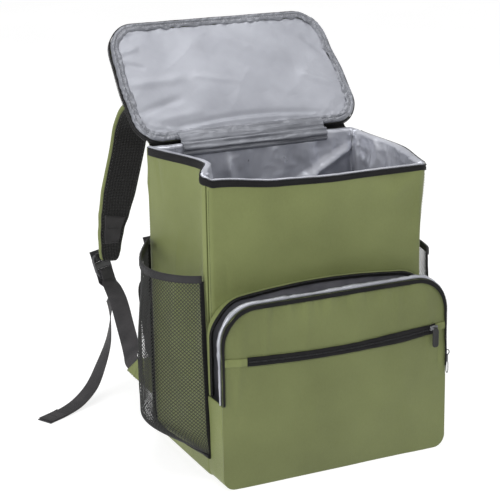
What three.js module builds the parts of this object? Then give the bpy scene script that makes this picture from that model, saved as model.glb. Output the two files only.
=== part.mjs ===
// An insulated backpack with its lid open: a padded main compartment with a silver lining, a box pocket
// on the front, a mesh pocket on each side and two padded shoulder straps with webbing and ladder locks.
// Millimetres. The origin is the middle of the compartment's base, +Z is up, the front pocket faces -Y.
import * as THREE from "three";

// Main compartment
const bodyWidth = 310;
const bodyDepth = 190;
const bodyHeight = 385;
const cornerRadius = 12; // upright corners
const baseRadius = 6.5; // where the walls roll under the base
const wallThickness = 5; // fabric with the foam behind it
const liningThickness = 1.2;
const seamGap = 0.4; // clearance between neighbouring pieces
const seamPlace = 0.5; // share of a corner that the front and back panels wrap before the seam
const tapeThickness = 1.2;
const rimTapeWidth = 9;

// Lid
const lidWidth = 332;
const lidLength = 191; // hinge line to the free edge
const lidLean = 42; // degrees past upright
const lidFoam = 8;
const lidDome = 6; // swell of the outer face
const lidPillow = 2.2; // swell of the lining
const lidFreeRadius = 38;
const lidHingeRadius = 32;
const lidHingeGap = 7; // hinge line to the lid's near edge
const bindingWidth = 12;
const bindingHeight = 4.6;
const lidRoll = 0.95; // share of the way out where the cover's outer face rolls up to its edge
const flapWidth = 210; // silver flap over the hinge
const flapDrop = 14; // how far it hangs inside the back wall
const stripDrop = 14; // how far the strip outside the hinge reaches down the back
const stripReach = 12; // and along the lid
const stripThickness = 1.7;

// Front pocket
const pocketDepth = 45;
const pocketHeight = 234;
const pocketRadius = 46; // upper corners
const pocketFootRadius = 16;
const pocketSwell = 9; // how far the filled face stands proud in the middle
const faceThickness = 2.4;
const gussetThickness = 2;
const zipEndHeight = 112; // where the pocket's zip stops, above the floor
const faceTapeWidth = 7.5;
const faceTapeEnd = 1.6; // width that it narrows to at its two ends
const backTapeWidth = 9;
const backTapeDepth = 7;
const edgePipeRadius = 2.1;
const smallZipHeight = 167; // zip across the pocket's face
const smallZipSag = 5.5;
const smallZipWidth = 11.5;
const smallZipStart = -125;
const smallZipEnd = 139;

// Mesh pockets on the sides
const meshThickness = 1.2;
const meshTop = 264;
const meshTopRise = 5; // the top climbs this much to the back
const meshFrontInset = 6; // from the body's front to the pocket's front edge, at the top
const meshFrontLean = 13; // the foot of that edge lies this much further forward
const meshBackInset = 11;
const meshFootFront = 30;
const meshFootBack = 9;
const meshBandWidth = 11;
const meshBandThickness = 1.6;
const meshTrimWidth = 6;

// Shoulder straps
const strapWidth = 54;
const strapFoam = 7;
const strapMesh = 1.8;
const strapMeshMargin = 2.5;
const strapReach = 200; // how far the hanging pads stand behind the back wall
const padSteps = 20;
const bareSteps = 2; // steps at a pad's top that its mesh leaves bare
const webWidth = 25;
const webThickness = 1.4;
const tabHigh = 102; // root of the anchor tab, above the floor
const tabLow = 44;
const tabOut = 18; // tip of the tab, outwards, behind and above the floor
const tabBehind = 27;
const tabTipHeight = 84;
const tabThickness = 2.4;
const tabSewn = 14; // length of webbing sewn to the tab

// Ladder lock
const lockWidth = 34;
const lockLength = 32;
const lockThickness = 4.6;
const lockBar = 5;
const lockSlot = 7;
const lockCorner = 5;
const lockBehind = 14; // from the pad's end to the lock's middle
const lockBelow = 9;
const lockLean = 20.3; // degrees that the lock leans towards the back wall
const slotBend = 2.5; // from a slot's middle to where the webbing lies flat again
const slotRun = 10; // length that it then runs straight along the lock
const webRun = 20;
const loopSewn = 22; // length of the lock's loop on the pad
const loopFree = 12;
const loopFold = 16;

// Zip sliders and pulls
const sliderLength = 11;
const sliderWidth = 8;
const sliderHeight = 4;
const pullLength = 20;
const pullWidth = 8;
const pullThickness = 2.2;
const pullEye = 2;
const pullOffset = 3; // from the slider's middle to the pull's eye

const halfWidth = bodyWidth / 2;
const halfDepth = bodyDepth / 2;
const liningInset = wallThickness + 2 * seamGap;
const liningInner = liningInset + liningThickness;
const floorLevel = wallThickness + seamGap;
const pocketHalf = halfWidth + seamGap + gussetThickness;
const pocketFront = -halfDepth - pocketDepth;

// Height of the rim above or below bodyHeight, as a share of it. The place runs round the plan: 0 to 1 is
// the front from left to right, 2 to 3 the right side, 4 to 5 the back, 6 to 7 the left side, and the rest
// are corners.
const rimRows = [
  { place: 0.0, rise: -0.012 },
  { place: 0.3, rise: -0.032 },
  { place: 0.6, rise: -0.038 },
  { place: 1.0, rise: -0.045 },
  { place: 1.8, rise: -0.052 },
  { place: 2.4, rise: -0.03 },
  { place: 3.2, rise: -0.016 },
  { place: 4.0, rise: -0.01 },
  { place: 5.0, rise: 0.0 },
  { place: 5.8, rise: 0.008 },
  { place: 6.8, rise: 0.01 },
  { place: 7.4, rise: -0.002 },
  { place: 8.0, rise: -0.012 },
];

// Half width of the lid along its length, as a share of half of lidWidth.
const lidEdgeRows = [
  { along: 0, left: 0.93, right: 0.95 },
  { along: 0.1, left: 0.945, right: 0.98 },
  { along: 0.25, left: 0.965, right: 1 },
  { along: 0.45, left: 0.975, right: 0.995 },
  { along: 0.72, left: 0.965, right: 0.965 },
  { along: 1, left: 0.93, right: 0.94 },
];

// Dents of the walls: the left side's pinch, the bows of the front and the right side, and the dents of the
// front right corner and the right side. Before and after are how far a dent spreads along the plan, spread
// how far it does up and down from its height share, and depth is inwards, as a share of the body's width.
const dentRows = [
  { place: 6.7, before: 0.78, after: 0.36, high: 1.0, spread: 0.9, depth: 0.085 },
  { place: 0.5, before: 0.5, after: 0.5, high: 1.0, spread: 0.36, depth: -0.034 },
  { place: 2.5, before: 0.5, after: 0.5, high: 1.0, spread: 0.6, depth: -0.03 },
  { place: 1.7, before: 0.9, after: 0.9, high: 0.64, spread: 0.34, depth: 0.024 },
  { place: 2.5, before: 0.45, after: 0.45, high: 0.5, spread: 0.4, depth: 0.03 },
];

// Section of the lid's binding: in is from the lid's edge, as a share of bindingWidth, up of bindingHeight.
const bindingRows = [
  { in: 0.83, up: 0.52 },
  { in: 0.083, up: 0.09 },
  { in: 0, up: 0.5 },
  { in: 0.25, up: 1 },
  { in: 0.65, up: 0.85 },
  { in: 0.96, up: 0.62 },
];

// The silver flap inside the back wall: reach from the wall and drop below the rim, as shares of flapDrop.
const flapWallRows = [
  { reach: 0, drop: 1 },
  { reach: 0.2, drop: 0.74 },
  { reach: 0.06, drop: 0.52 },
  { reach: 0.27, drop: 0.3 },
  { reach: 0.1, drop: 0.04 },
];

// The flap on the lid: along as a share of bindingWidth from the lid's near edge, lift of bindingHeight.
const flapLidRows = [
  { along: -0.25, lift: 1.3 },
  { along: 0.33, lift: 0.9 },
  { along: 1, lift: 0.64 },
];

// The strip outside the hinge: drop below the rim as a share of stripDrop, and on the lid along as a share
// of stripReach from the lid's near edge, with under as a share of lidFoam.
const stripWallRows = [{ drop: 1 }, { drop: 0.3 }];
const stripLidRows = [
  { along: -0.33, under: 0.92 },
  { along: 0.33, under: 1.06 },
  { along: 1, under: 1.19 },
];

// Each mesh pocket: how far it stands open, how much of that is drawn in at its top, and how much lower
// its top is.
const leftMesh = { hand: -1, bulge: 57, tuck: 0.18, drop: 0 };
const rightMesh = { hand: 1, bulge: 30, tuck: 0.6, drop: 9 };

// Middle line of each shoulder pad. Across is a share of the body's half width, back of strapReach and up
// of bodyHeight.
const leftPadRows = [
  { across: -0.34, back: 0.0, up: 0.86 },
  { across: -0.35, back: 0.01, up: 0.92 },
  { across: -0.44, back: 0.235, up: 1.03 },
  { across: -0.56, back: 0.525, up: 1.1 },
  { across: -0.65, back: 0.745, up: 1.065 },
  { across: -0.69, back: 0.83, up: 1.0 },
  { across: -0.735, back: 0.855, up: 0.9 },
  { across: -0.8, back: 0.89, up: 0.77 },
  { across: -0.845, back: 0.92, up: 0.673 },
  { across: -0.88, back: 0.94, up: 0.595 },
  { across: -0.9, back: 0.965, up: 0.475 },
];
const rightPadRows = [
  { across: 0.34, back: 0.0, up: 0.86 },
  { across: 0.34, back: 0.01, up: 0.92 },
  { across: 0.34, back: 0.235, up: 1.03 },
  { across: 0.27, back: 0.525, up: 1.1 },
  { across: 0.15, back: 0.745, up: 1.065 },
  { across: 0.06, back: 0.83, up: 1.0 },
  { across: -0.06, back: 0.855, up: 0.9 },
  { across: -0.19, back: 0.89, up: 0.77 },
  { across: -0.28, back: 0.92, up: 0.673 },
  { across: -0.32, back: 0.94, up: 0.595 },
  { across: -0.39, back: 0.965, up: 0.5 },
];

// Width of a pad along its length, as a share of strapWidth.
const padWidthRows = [
  { share: 0, width: 0.9 },
  { share: 0.2, width: 1 },
  { share: 0.72, width: 0.98 },
  { share: 0.82, width: 0.86 },
  { share: 0.9, width: 0.7 },
  { share: 0.965, width: 0.56 },
  { share: 1, width: 0.3 },
];

// Webbing from the anchor tab up to the lock, and from the lock to its free end, placed like the pads. Turn
// is the heading of its width, seen from above, and tilt its rise.
const leftWebRows = [
  { across: -1.06, back: 0.25, up: 0.245, turn: -28, tilt: 28 },
  { across: -1.0, back: 0.48, up: 0.3, turn: -25, tilt: 20 },
  { across: -0.95, back: 0.7, up: 0.355, turn: -20, tilt: 12 },
];
const rightWebRows = [
  { across: 0.85, back: 0.32, up: 0.25, turn: -155, tilt: 25 },
  { across: 0.4, back: 0.58, up: 0.3, turn: -165, tilt: 8 },
  { across: -0.05, back: 0.85, up: 0.35, turn: -172, tilt: 0 },
];
const leftTailRows = [
  { across: -0.94, back: 0.9, up: 0.335, turn: -88 },
  { across: -0.975, back: 0.83, up: 0.27, turn: -112 },
  { across: -1.03, back: 0.78, up: 0.19, turn: -98 },
  { across: -1.14, back: 0.715, up: 0.115, turn: -84 },
  { across: -1.28, back: 0.63, up: 0.052, turn: -72 },
  { across: -1.45, back: 0.555, up: 0.015, turn: -66 },
  { across: -1.63, back: 0.48, up: 0.003, turn: -63 },
  { across: -1.83, back: 0.4, up: 0.001, turn: -62 },
];
const rightTailRows = [
  { across: -0.5, back: 1.05, up: 0.34, turn: 10 },
  { across: -0.505, back: 1.03, up: 0.26, turn: 6 },
  { across: -0.49, back: 1.02, up: 0.18, turn: 0 },
  { across: -0.46, back: 1.03, up: 0.1, turn: -6 },
  { across: -0.42, back: 1.05, up: 0.045, turn: -12 },
];

const green = { color: 0x7d8752, roughness: 0.82, metalness: 0 };
const black = { color: 0x1c1b1c, roughness: 0.75, metalness: 0 };
const silver = { color: 0xa9acb4, roughness: 0.38, metalness: 0.35 };
const darkGrey = { color: 0x4a4a50, roughness: 0.7, metalness: 0 };
const hardBlack = { color: 0x2a2a2c, roughness: 0.45, metalness: 0 };
const steel = { color: 0x8d8f94, roughness: 0.35, metalness: 0.9 };

const backpack = new THREE.Group();

function addPiece(name, geometry, finish, parent = backpack) {
  const mesh = new THREE.Mesh(geometry, new THREE.MeshStandardMaterial(finish));
  mesh.name = name;
  parent.add(mesh);
  return mesh;
}

function mix(a, b, share) {
  return a + (b - a) * share;
}

function ease(t) {
  const held = Math.min(1, Math.max(0, t));
  return held * held * (3 - 2 * held);
}

// Values in equal steps through any number of knots: spaced(0, 4, 1, 2, 3) is 0 to 1 in four steps and on
// to 3 in two.
function spaced(first, ...stepsAndKnots) {
  const values = [first];
  for (let i = 0; i < stepsAndKnots.length; i += 2) {
    const from = values[values.length - 1];
    const steps = stepsAndKnots[i];
    for (let k = 1; k <= steps; k += 1) {
      values.push(mix(from, stepsAndKnots[i + 1], k / steps));
    }
  }
  return values;
}

// A column of a table at a key, eased between its rows.
function fromTable(rows, key, column, value) {
  let i = 0;
  while (i < rows.length - 2 && rows[i + 1][key] < value) i += 1;
  const share = (value - rows[i][key]) / (rows[i + 1][key] - rows[i][key]);
  return mix(rows[i][column], rows[i + 1][column], ease(share));
}

// Turns the faces of a closed surface outwards.
function facingOut(points, faces) {
  const volume = faces.reduce((sum, [a, b, c]) => {
    return sum + points[a].dot(new THREE.Vector3().crossVectors(points[b], points[c]));
  }, 0);
  const turned = volume < 0 ? faces.map(([a, b, c]) => [a, c, b]) : faces;
  const geometry = new THREE.BufferGeometry();
  const positions = points.flatMap((point) => point.toArray());
  geometry.setAttribute("position", new THREE.Float32BufferAttribute(positions, 3));
  geometry.setIndex(turned.flat());
  geometry.computeVertexNormals();
  return geometry;
}

// A closed slab: pointAt(column, row, side) gives its outer face at side 0 and its inner face at side 1.
function slab(columns, rows, pointAt) {
  const points = [];
  const faces = [];
  const wide = columns.length;
  const high = rows.length;
  for (const side of [0, 1]) {
    for (const row of rows) for (const column of columns) points.push(pointAt(column, row, side));
  }
  const at = (i, j, side) => side * wide * high + j * wide + i;
  const quad = (a, b, c, d) => faces.push([a, b, c], [a, c, d]);
  for (let j = 0; j < high - 1; j += 1) {
    for (let i = 0; i < wide - 1; i += 1) {
      quad(at(i, j, 0), at(i + 1, j, 0), at(i + 1, j + 1, 0), at(i, j + 1, 0));
      faces.push([at(i, j, 1), at(i + 1, j + 1, 1), at(i + 1, j, 1)]);
      faces.push([at(i, j, 1), at(i, j + 1, 1), at(i + 1, j + 1, 1)]);
    }
  }
  for (let i = 0; i < wide - 1; i += 1) {
    quad(at(i, 0, 0), at(i, 0, 1), at(i + 1, 0, 1), at(i + 1, 0, 0));
    quad(at(i + 1, high - 1, 0), at(i + 1, high - 1, 1), at(i, high - 1, 1), at(i, high - 1, 0));
  }
  for (let j = 0; j < high - 1; j += 1) {
    quad(at(0, j, 0), at(0, j + 1, 0), at(0, j + 1, 1), at(0, j, 1));
    quad(at(wide - 1, j, 0), at(wide - 1, j, 1), at(wide - 1, j + 1, 1), at(wide - 1, j + 1, 0));
  }
  return facingOut(points, faces);
}

// A closed body through a row of equal rings, with a fan over the first and the last.
function ringStack(rings) {
  const points = rings.flat();
  const faces = [];
  const round = rings[0].length;
  for (let j = 0; j < rings.length - 1; j += 1) {
    for (let i = 0; i < round; i += 1) {
      const next = (i + 1) % round;
      const [a, b, c, d] = [j * round + i, j * round + next, (j + 1) * round + next, (j + 1) * round + i];
      faces.push([a, b, c], [a, c, d]);
    }
  }
  const fan = (ring, start, turn) => {
    const middle = ring.reduce((sum, p) => sum.add(p), new THREE.Vector3()).divideScalar(round);
    points.push(middle);
    for (let i = 0; i < round; i += 1) {
      const pair = [start + i, start + ((i + 1) % round)];
      faces.push(turn ? [points.length - 1, pair[1], pair[0]] : [points.length - 1, pair[0], pair[1]]);
    }
  };
  fan(rings[0], 0, true);
  fan(rings[rings.length - 1], (rings.length - 1) * round, false);
  return facingOut(points, faces);
}

// A section of [across, out] points carried along frames of {origin, across, out}.
function sweep(frames, section) {
  return ringStack(
    frames.map((frame, index) => {
      const points = typeof section === "function" ? section(index / (frames.length - 1)) : section;
      return points.map(([a, b]) => {
        return frame.origin.clone().addScaledVector(frame.across, a).addScaledVector(frame.out, b);
      });
    }),
  );
}

function rectangleSection(low, high, under, over) {
  return [
    [low, under],
    [high, under],
    [high, over],
    [low, over],
  ];
}

// A cushion section: flat below, full above, with thin edges.
function cushionSection(wide, thick) {
  const half = wide / 2;
  return [
    [-half + strapMeshMargin, -thick / 2],
    [half - strapMeshMargin, -thick / 2],
    [half, -thick * 0.1],
    [half * 0.86, thick * 0.38],
    [half * 0.4, thick / 2],
    [-half * 0.4, thick / 2],
    [-half * 0.86, thick * 0.38],
    [-half, -thick * 0.1],
  ];
}

// The plan of the main compartment at a place round it, moved inwards by inset.
function planAt(place, inset) {
  const turned = ((place % 8) + 8) % 8;
  const stretch = Math.floor(turned);
  const share = turned - stretch;
  const side = Math.floor(stretch / 2);
  const angle = (-1 + side + (stretch % 2 ? share : 0)) * (Math.PI / 2);
  const normal = new THREE.Vector2(Math.cos(angle), Math.sin(angle));
  const signs = [
    [-1, -1],
    [1, -1],
    [1, 1],
    [-1, 1],
  ];
  const centre = (k) => {
    const [sx, sy] = signs[k % 4];
    return new THREE.Vector2(sx * (halfWidth - cornerRadius), sy * (halfDepth - cornerRadius));
  };
  const start = stretch % 2 ? centre(side + 1) : centre(side);
  const middle = stretch % 2 ? start : start.lerp(centre(side + 1), share);
  return { point: middle.addScaledVector(normal, cornerRadius - inset), normal };
}

function dentAt(place, high) {
  return dentRows.reduce((sum, row) => {
    const away = ((((place - row.place + 4) % 8) + 8) % 8) - 4;
    const along = ease(away < 0 ? 1 + away / row.before : 1 - away / row.after);
    const upright = ease(1 - Math.abs(row.high - high) / row.spread);
    return sum + row.depth * bodyWidth * along * upright;
  }, 0);
}

// A point of the compartment's wall: place round the plan, share of the height, and inset from the outside.
function wallAt(place, high, inset) {
  const level = high * bodyHeight;
  const roll = level < baseRadius ? baseRadius - Math.sqrt(baseRadius ** 2 - (baseRadius - level) ** 2) : 0;
  const { point, normal } = planAt(place, inset + roll);
  point.addScaledVector(normal, -dentAt(place, high));
  const turned = ((place % 8) + 8) % 8;
  const rise = fromTable(rimRows, "place", "rise", turned) * bodyHeight * high ** 6;
  return new THREE.Vector3(point.x, point.y, level + rise);
}

const lowShares = [0, 0.25 * baseRadius, floorLevel, baseRadius].map((level) => level / bodyHeight);
const heightShares = [...lowShares, 0.3, 0.63, 0.78, 0.92, 1];
const frontPlaces = spaced(-seamPlace, 2, 0, 6, 1, 2, 1 + seamPlace);
const rightPlaces = spaced(1 + seamPlace, 1, 2, 6, 3, 1, 4 - seamPlace);
const backPlaces = spaced(4 - seamPlace, 2, 4, 4, 5, 2, 5 + seamPlace);
const leftPlaces = spaced(5 + seamPlace, 1, 6, 10, 7, 1, 8 - seamPlace);

// Panels of the outer shell
function addWallPanel(name, places) {
  const trim = seamGap / 2 / ((cornerRadius * Math.PI) / 2);
  const columns = [places[0] + trim, ...places.slice(1, -1), places[places.length - 1] - trim];
  const geometry = slab(columns, heightShares, (place, high, side) => {
    return wallAt(place, high, side * wallThickness);
  });
  addPiece(name, geometry, green);
}

function addBasePanel() {
  const inset = baseRadius + wallThickness + seamGap;
  const straightX = halfWidth - inset;
  const straightY = halfDepth - inset;
  const outline = [
    [-1, -1],
    [1, -1],
    [1, 1],
    [-1, 1],
  ];
  const ring = (level) => {
    return outline.map(([sx, sy]) => new THREE.Vector3(sx * straightX, sy * straightY, level));
  };
  addPiece("base_panel", ringStack([ring(0), ring(wallThickness - seamGap)]), green);
}

// The lining is one welded tub, folded out over the top edge of the panels
function addLining() {
  const later = [rightPlaces, backPlaces, leftPlaces].flatMap((places) => places.slice(1));
  const places = [...frontPlaces, ...later.slice(0, -1)];
  const ringAt = (high, inset, lift = 0) => {
    return places.map((place) => wallAt(place, high, inset).add(new THREE.Vector3(0, 0, lift)));
  };
  const shrunk = (ring, share) => ring.map((p) => new THREE.Vector3(p.x * share, p.y * share, p.z));
  const floorShare = floorLevel / bodyHeight;
  const innerShare = (floorLevel + liningThickness) / bodyHeight;
  const upper = heightShares.filter((share) => share * bodyHeight >= baseRadius);
  const innerFloor = ringAt(innerShare, liningInner);
  const outerFloor = ringAt(floorShare, liningInset);
  addPiece(
    "lining",
    ringStack([
      shrunk(outerFloor, 0.5),
      outerFloor,
      ...upper.map((share) => ringAt(share, liningInset)),
      ringAt(1, liningInset, seamGap),
      ringAt(1, 0, seamGap),
      ringAt(1, 0, seamGap + liningThickness),
      ringAt(1, liningInner, seamGap + liningThickness),
      ...upper
        .slice(0, -1)
        .reverse()
        .map((share) => ringAt(share, liningInner)),
      innerFloor,
      shrunk(innerFloor, 0.5),
    ]),
    silver,
  );
}

// Half of the main zip, sewn round the rim from one back corner to the other
function addRimTape() {
  const later = [...frontPlaces, ...rightPlaces.slice(1, -1)].map((place) => place + 8);
  const places = [...leftPlaces.slice(1, -1), ...later];
  const geometry = slab(places, [1 - rimTapeWidth / bodyHeight, 1], (place, high, side) => {
    return wallAt(place, high, -seamGap - (1 - side) * tapeThickness);
  });
  addPiece("rim_zip_tape", geometry, black);
}

const lean = THREE.MathUtils.degToRad(lidLean);
const lidAlong = new THREE.Vector3(0, Math.sin(lean), Math.cos(lean));
const lidUp = new THREE.Vector3(0, -Math.cos(lean), Math.sin(lean));

// A point of the open lid: across it, along it from the hinge line, and lifted towards its inner side
function lidAt(across, along, lift) {
  const point = new THREE.Vector3(across, halfDepth, bodyHeight);
  return point.addScaledVector(lidAlong, along).addScaledVector(lidUp, lift);
}

// Points and outward normals of a rounded rectangle, walked counterclockwise from the left end of its low
// side. The radii are those of the corners at its low and its high side, and the step counts are those of a
// corner, the low side, an upright side and the high side.
function roundedOutline(left, right, low, high, lowRadius, highRadius, stepCounts) {
  const [arcSteps, lowSteps, sideSteps, highSteps] = stepCounts;
  const corners = [
    { x: right - lowRadius, y: low + lowRadius, radius: lowRadius, from: -90 },
    { x: right - highRadius, y: high - highRadius, radius: highRadius, from: 0 },
    { x: left + highRadius, y: high - highRadius, radius: highRadius, from: 90 },
    { x: left + lowRadius, y: low + lowRadius, radius: lowRadius, from: 180 },
  ];
  const steps = [sideSteps, highSteps, sideSteps, lowSteps];
  const outline = [];
  corners.forEach((corner, k) => {
    for (const angle of spaced(corner.from, arcSteps, corner.from + 90)) {
      const turn = THREE.MathUtils.degToRad(angle);
      const normal = new THREE.Vector2(Math.cos(turn), Math.sin(turn));
      const point = new THREE.Vector2(corner.x, corner.y).addScaledVector(normal, corner.radius);
      outline.push({ x: point.x, y: point.y, normal });
    }
    const last = outline[outline.length - 1];
    const next = corners[(k + 1) % 4];
    const turn = THREE.MathUtils.degToRad(next.from);
    const end = { x: next.x + next.radius * Math.cos(turn), y: next.y + next.radius * Math.sin(turn) };
    for (const share of spaced(0, steps[k], 1).slice(1, -1)) {
      outline.push({ x: mix(last.x, end.x, share), y: mix(last.y, end.y, share), normal: last.normal });
    }
  });
  return outline;
}

function lidOutline(inset) {
  const outline = roundedOutline(
    -lidWidth / 2 + inset,
    lidWidth / 2 - inset,
    lidHingeGap + inset,
    lidLength - inset,
    lidHingeRadius - inset,
    lidFreeRadius - inset,
    [5, 4, 5, 4],
  );
  return outline.map((p) => {
    const edge = fromTable(lidEdgeRows, "along", p.x < 0 ? "left" : "right", p.y / lidLength);
    return { ...p, x: p.x * edge };
  });
}

// A plate over the lid: under and over give its two faces at a share of the way out from the middle, and
// rolled is the share that the under face ends at.
function lidPlate(inset, under, over, rolled = 1) {
  const outline = lidOutline(inset);
  const middle = (lidHingeGap + lidLength) / 2;
  const ring = (share, lift) => {
    return outline.map((p) => lidAt(p.x * share, mix(middle, p.y, share), lift(share)));
  };
  const underRings = [0.4, 0.75, rolled].map((share) => ring(share, under));
  return ringStack([...underRings, ...[1, 0.75, 0.4].map((share) => ring(share, over))]);
}

// The part of the lid's outline that the zip and the binding follow: all but the silver flap's width
function lidZipPath(inset) {
  const outline = lidOutline(inset);
  const first = outline.findIndex((p) => p.normal.y < -0.999);
  const path = [...outline.slice(first), ...outline.slice(0, first)].filter((p) => p.normal.y > -0.999);
  const low = lidHingeGap + inset;
  const down = new THREE.Vector2(0, -1);
  const right = flapWidth / 2 + seamGap;
  const left = -flapWidth / 2 - seamGap;
  const rightTurn = 0.94 * (lidWidth / 2 - lidHingeRadius);
  const start = [
    { x: right, y: low, normal: down },
    { x: rightTurn, y: low, normal: down },
  ];
  const end = [
    { x: -rightTurn, y: low, normal: down },
    { x: left, y: low, normal: down },
  ];
  return [...start, ...path, ...end];
}

function addLid() {
  const bowl = (share) => 1 - share ** 2;
  addPiece(
    "lid_cover",
    lidPlate(0, (share) => -lidFoam - lidDome * bowl(share), () => 0, lidRoll),
    green,
  );
  addPiece(
    "lid_lining",
    lidPlate(
      bindingWidth - 1,
      () => seamGap,
      (share) => seamGap + liningThickness + lidPillow * bowl(share),
    ),
    silver,
  );
  const framesOf = (path) => {
    return path.map((p) => ({
      origin: lidAt(p.x, p.y, 0),
      across: lidAt(p.x + p.normal.x, p.y + p.normal.y, 0).sub(lidAt(p.x, p.y, 0)),
      out: lidUp,
    }));
  };
  const bindingSection = bindingRows.map((row) => [-row.in * bindingWidth, row.up * bindingHeight]);
  addPiece("lid_binding", sweep(framesOf(lidZipPath(0)), bindingSection), silver);
  const tapeSection = rectangleSection(seamGap, seamGap + tapeThickness, -lidFoam * 0.6, tapeThickness);
  addPiece("lid_zip_tape", sweep(framesOf(lidZipPath(0)), tapeSection), black);
}

// Fabric over the hinge: a silver flap with two soft ridges inside, and a strip outside
function addHinge() {
  const inner = halfDepth - liningInner - seamGap - liningThickness / 2;
  const folded = flapWallRows.map((row) => {
    return new THREE.Vector3(0, inner - row.reach * flapDrop, bodyHeight - row.drop * flapDrop);
  });
  const overRim = new THREE.Vector3(0, inner - seamGap, bodyHeight + 2 * (seamGap + liningThickness));
  const onLid = flapLidRows.map((row) => {
    return lidAt(0, lidHingeGap + row.along * bindingWidth, row.lift * bindingHeight);
  });
  const line = [...folded, overRim, ...onLid];
  const flap = slab(spaced(-flapWidth / 2, 6, flapWidth / 2), [...line.keys()], (x, row, side) => {
    const before = line[Math.max(0, row - 1)];
    const after = line[Math.min(line.length - 1, row + 1)];
    const along = after.clone().sub(before).normalize();
    const out = new THREE.Vector3(0, -along.z, along.y);
    return line[row].clone().setX(x).addScaledVector(out, (side - 0.5) * liningThickness);
  });
  addPiece("hinge_flap", flap, silver);

  const stripHalf = halfWidth - cornerRadius;
  const onWall = stripWallRows.map((row) => (x, side) => {
    const back = halfDepth + seamGap + side * stripThickness;
    return new THREE.Vector3(x, back, bodyHeight - row.drop * stripDrop);
  });
  const underLid = stripLidRows.map((row) => (x, side) => {
    const under = row.under * lidFoam + seamGap + side * stripThickness;
    return lidAt(x, lidHingeGap + row.along * stripReach, -under);
  });
  const strip = [...onWall, ...underLid];
  const stripColumns = spaced(-stripHalf, 4, stripHalf);
  const outside = slab(stripColumns, [...strip.keys()], (x, row, side) => strip[row](x, side));
  addPiece("hinge_strip", outside, green);
}

// The pocket's outline, from the left end of its zip over the top to its right end, or round the foot
function pocketTopPath(inset) {
  const side = pocketHalf - inset;
  const top = pocketHeight - inset;
  const radius = pocketRadius - inset;
  const path = roundedOutline(-side, side, zipEndHeight, top, 0, radius, [6, 1, 2, 6]);
  return path.filter((p) => p.y > zipEndHeight || p.normal.y > -0.001);
}

function pocketFootPath(inset) {
  const side = pocketHalf - inset;
  const radius = pocketFootRadius - inset;
  const outline = roundedOutline(-side, side, inset, zipEndHeight, radius, 0, [4, 4, 2, 1]);
  const lowest = outline.filter((p) => p.normal.y < 0.001);
  const start = lowest.findIndex((p) => p.normal.x < -0.999 && Math.abs(p.y - zipEndHeight) < 0.001);
  return [...lowest.slice(start), ...lowest.slice(0, start)];
}

// The pocket's face, with its swell
function faceAt(x, z, lift) {
  const alongX = 1 - (x / pocketHalf) ** 2;
  const alongZ = 1 - (2 * Math.min(1, Math.max(0, z / pocketHeight)) - 1) ** 2;
  return new THREE.Vector3(x, pocketFront - pocketSwell * Math.max(0, alongX * alongZ) - lift, z);
}

// Height of the pocket's rounded top at a place across it, and columns that follow its round corners
function topAt(x, side, top, radius) {
  const over = Math.max(0, Math.abs(x) - (side - radius));
  return top - radius + Math.sqrt(Math.max(0, radius ** 2 - over ** 2));
}

function cornerColumns(side, radius) {
  const angles = spaced(90, 4, 0).slice(0, -1);
  const arc = angles.map((angle) => radius * (1 - Math.sin(THREE.MathUtils.degToRad(angle))));
  const left = arc.map((reach) => reach - side);
  const right = left.map((x) => -x).reverse();
  return [...left, ...spaced(radius - side, 6, side - radius), ...right];
}

function addPocketFace() {
  const seamAt = (x) => smallZipHeight - smallZipSag * (1 - (x / pocketHalf) ** 2);
  const upper = slab(cornerColumns(pocketHalf, pocketRadius), spaced(0, 3, 1), (x, share, side) => {
    const top = topAt(x, pocketHalf, pocketHeight, pocketRadius);
    return faceAt(x, mix(seamAt(x) + seamGap / 2, top, share), -side * faceThickness);
  });
  const lower = slab(cornerColumns(pocketHalf, pocketFootRadius), spaced(0, 4, 1), (x, share, side) => {
    const foot = -topAt(x, pocketHalf, 0, pocketFootRadius);
    return faceAt(x, mix(foot, seamAt(x) - seamGap / 2, share), -side * faceThickness);
  });
  addPiece("pocket_face_upper", upper, green);
  addPiece("pocket_face_lower", lower, green);
  const zipRows = [-0.5, 0.5];
  const zip = slab(spaced(smallZipStart, 8, smallZipEnd), zipRows, (x, row, side) => {
    return faceAt(x, seamAt(x) + row * smallZipWidth, seamGap + (1 - side) * tapeThickness);
  });
  addPiece("small_zip_tape", zip, black);
}

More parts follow.
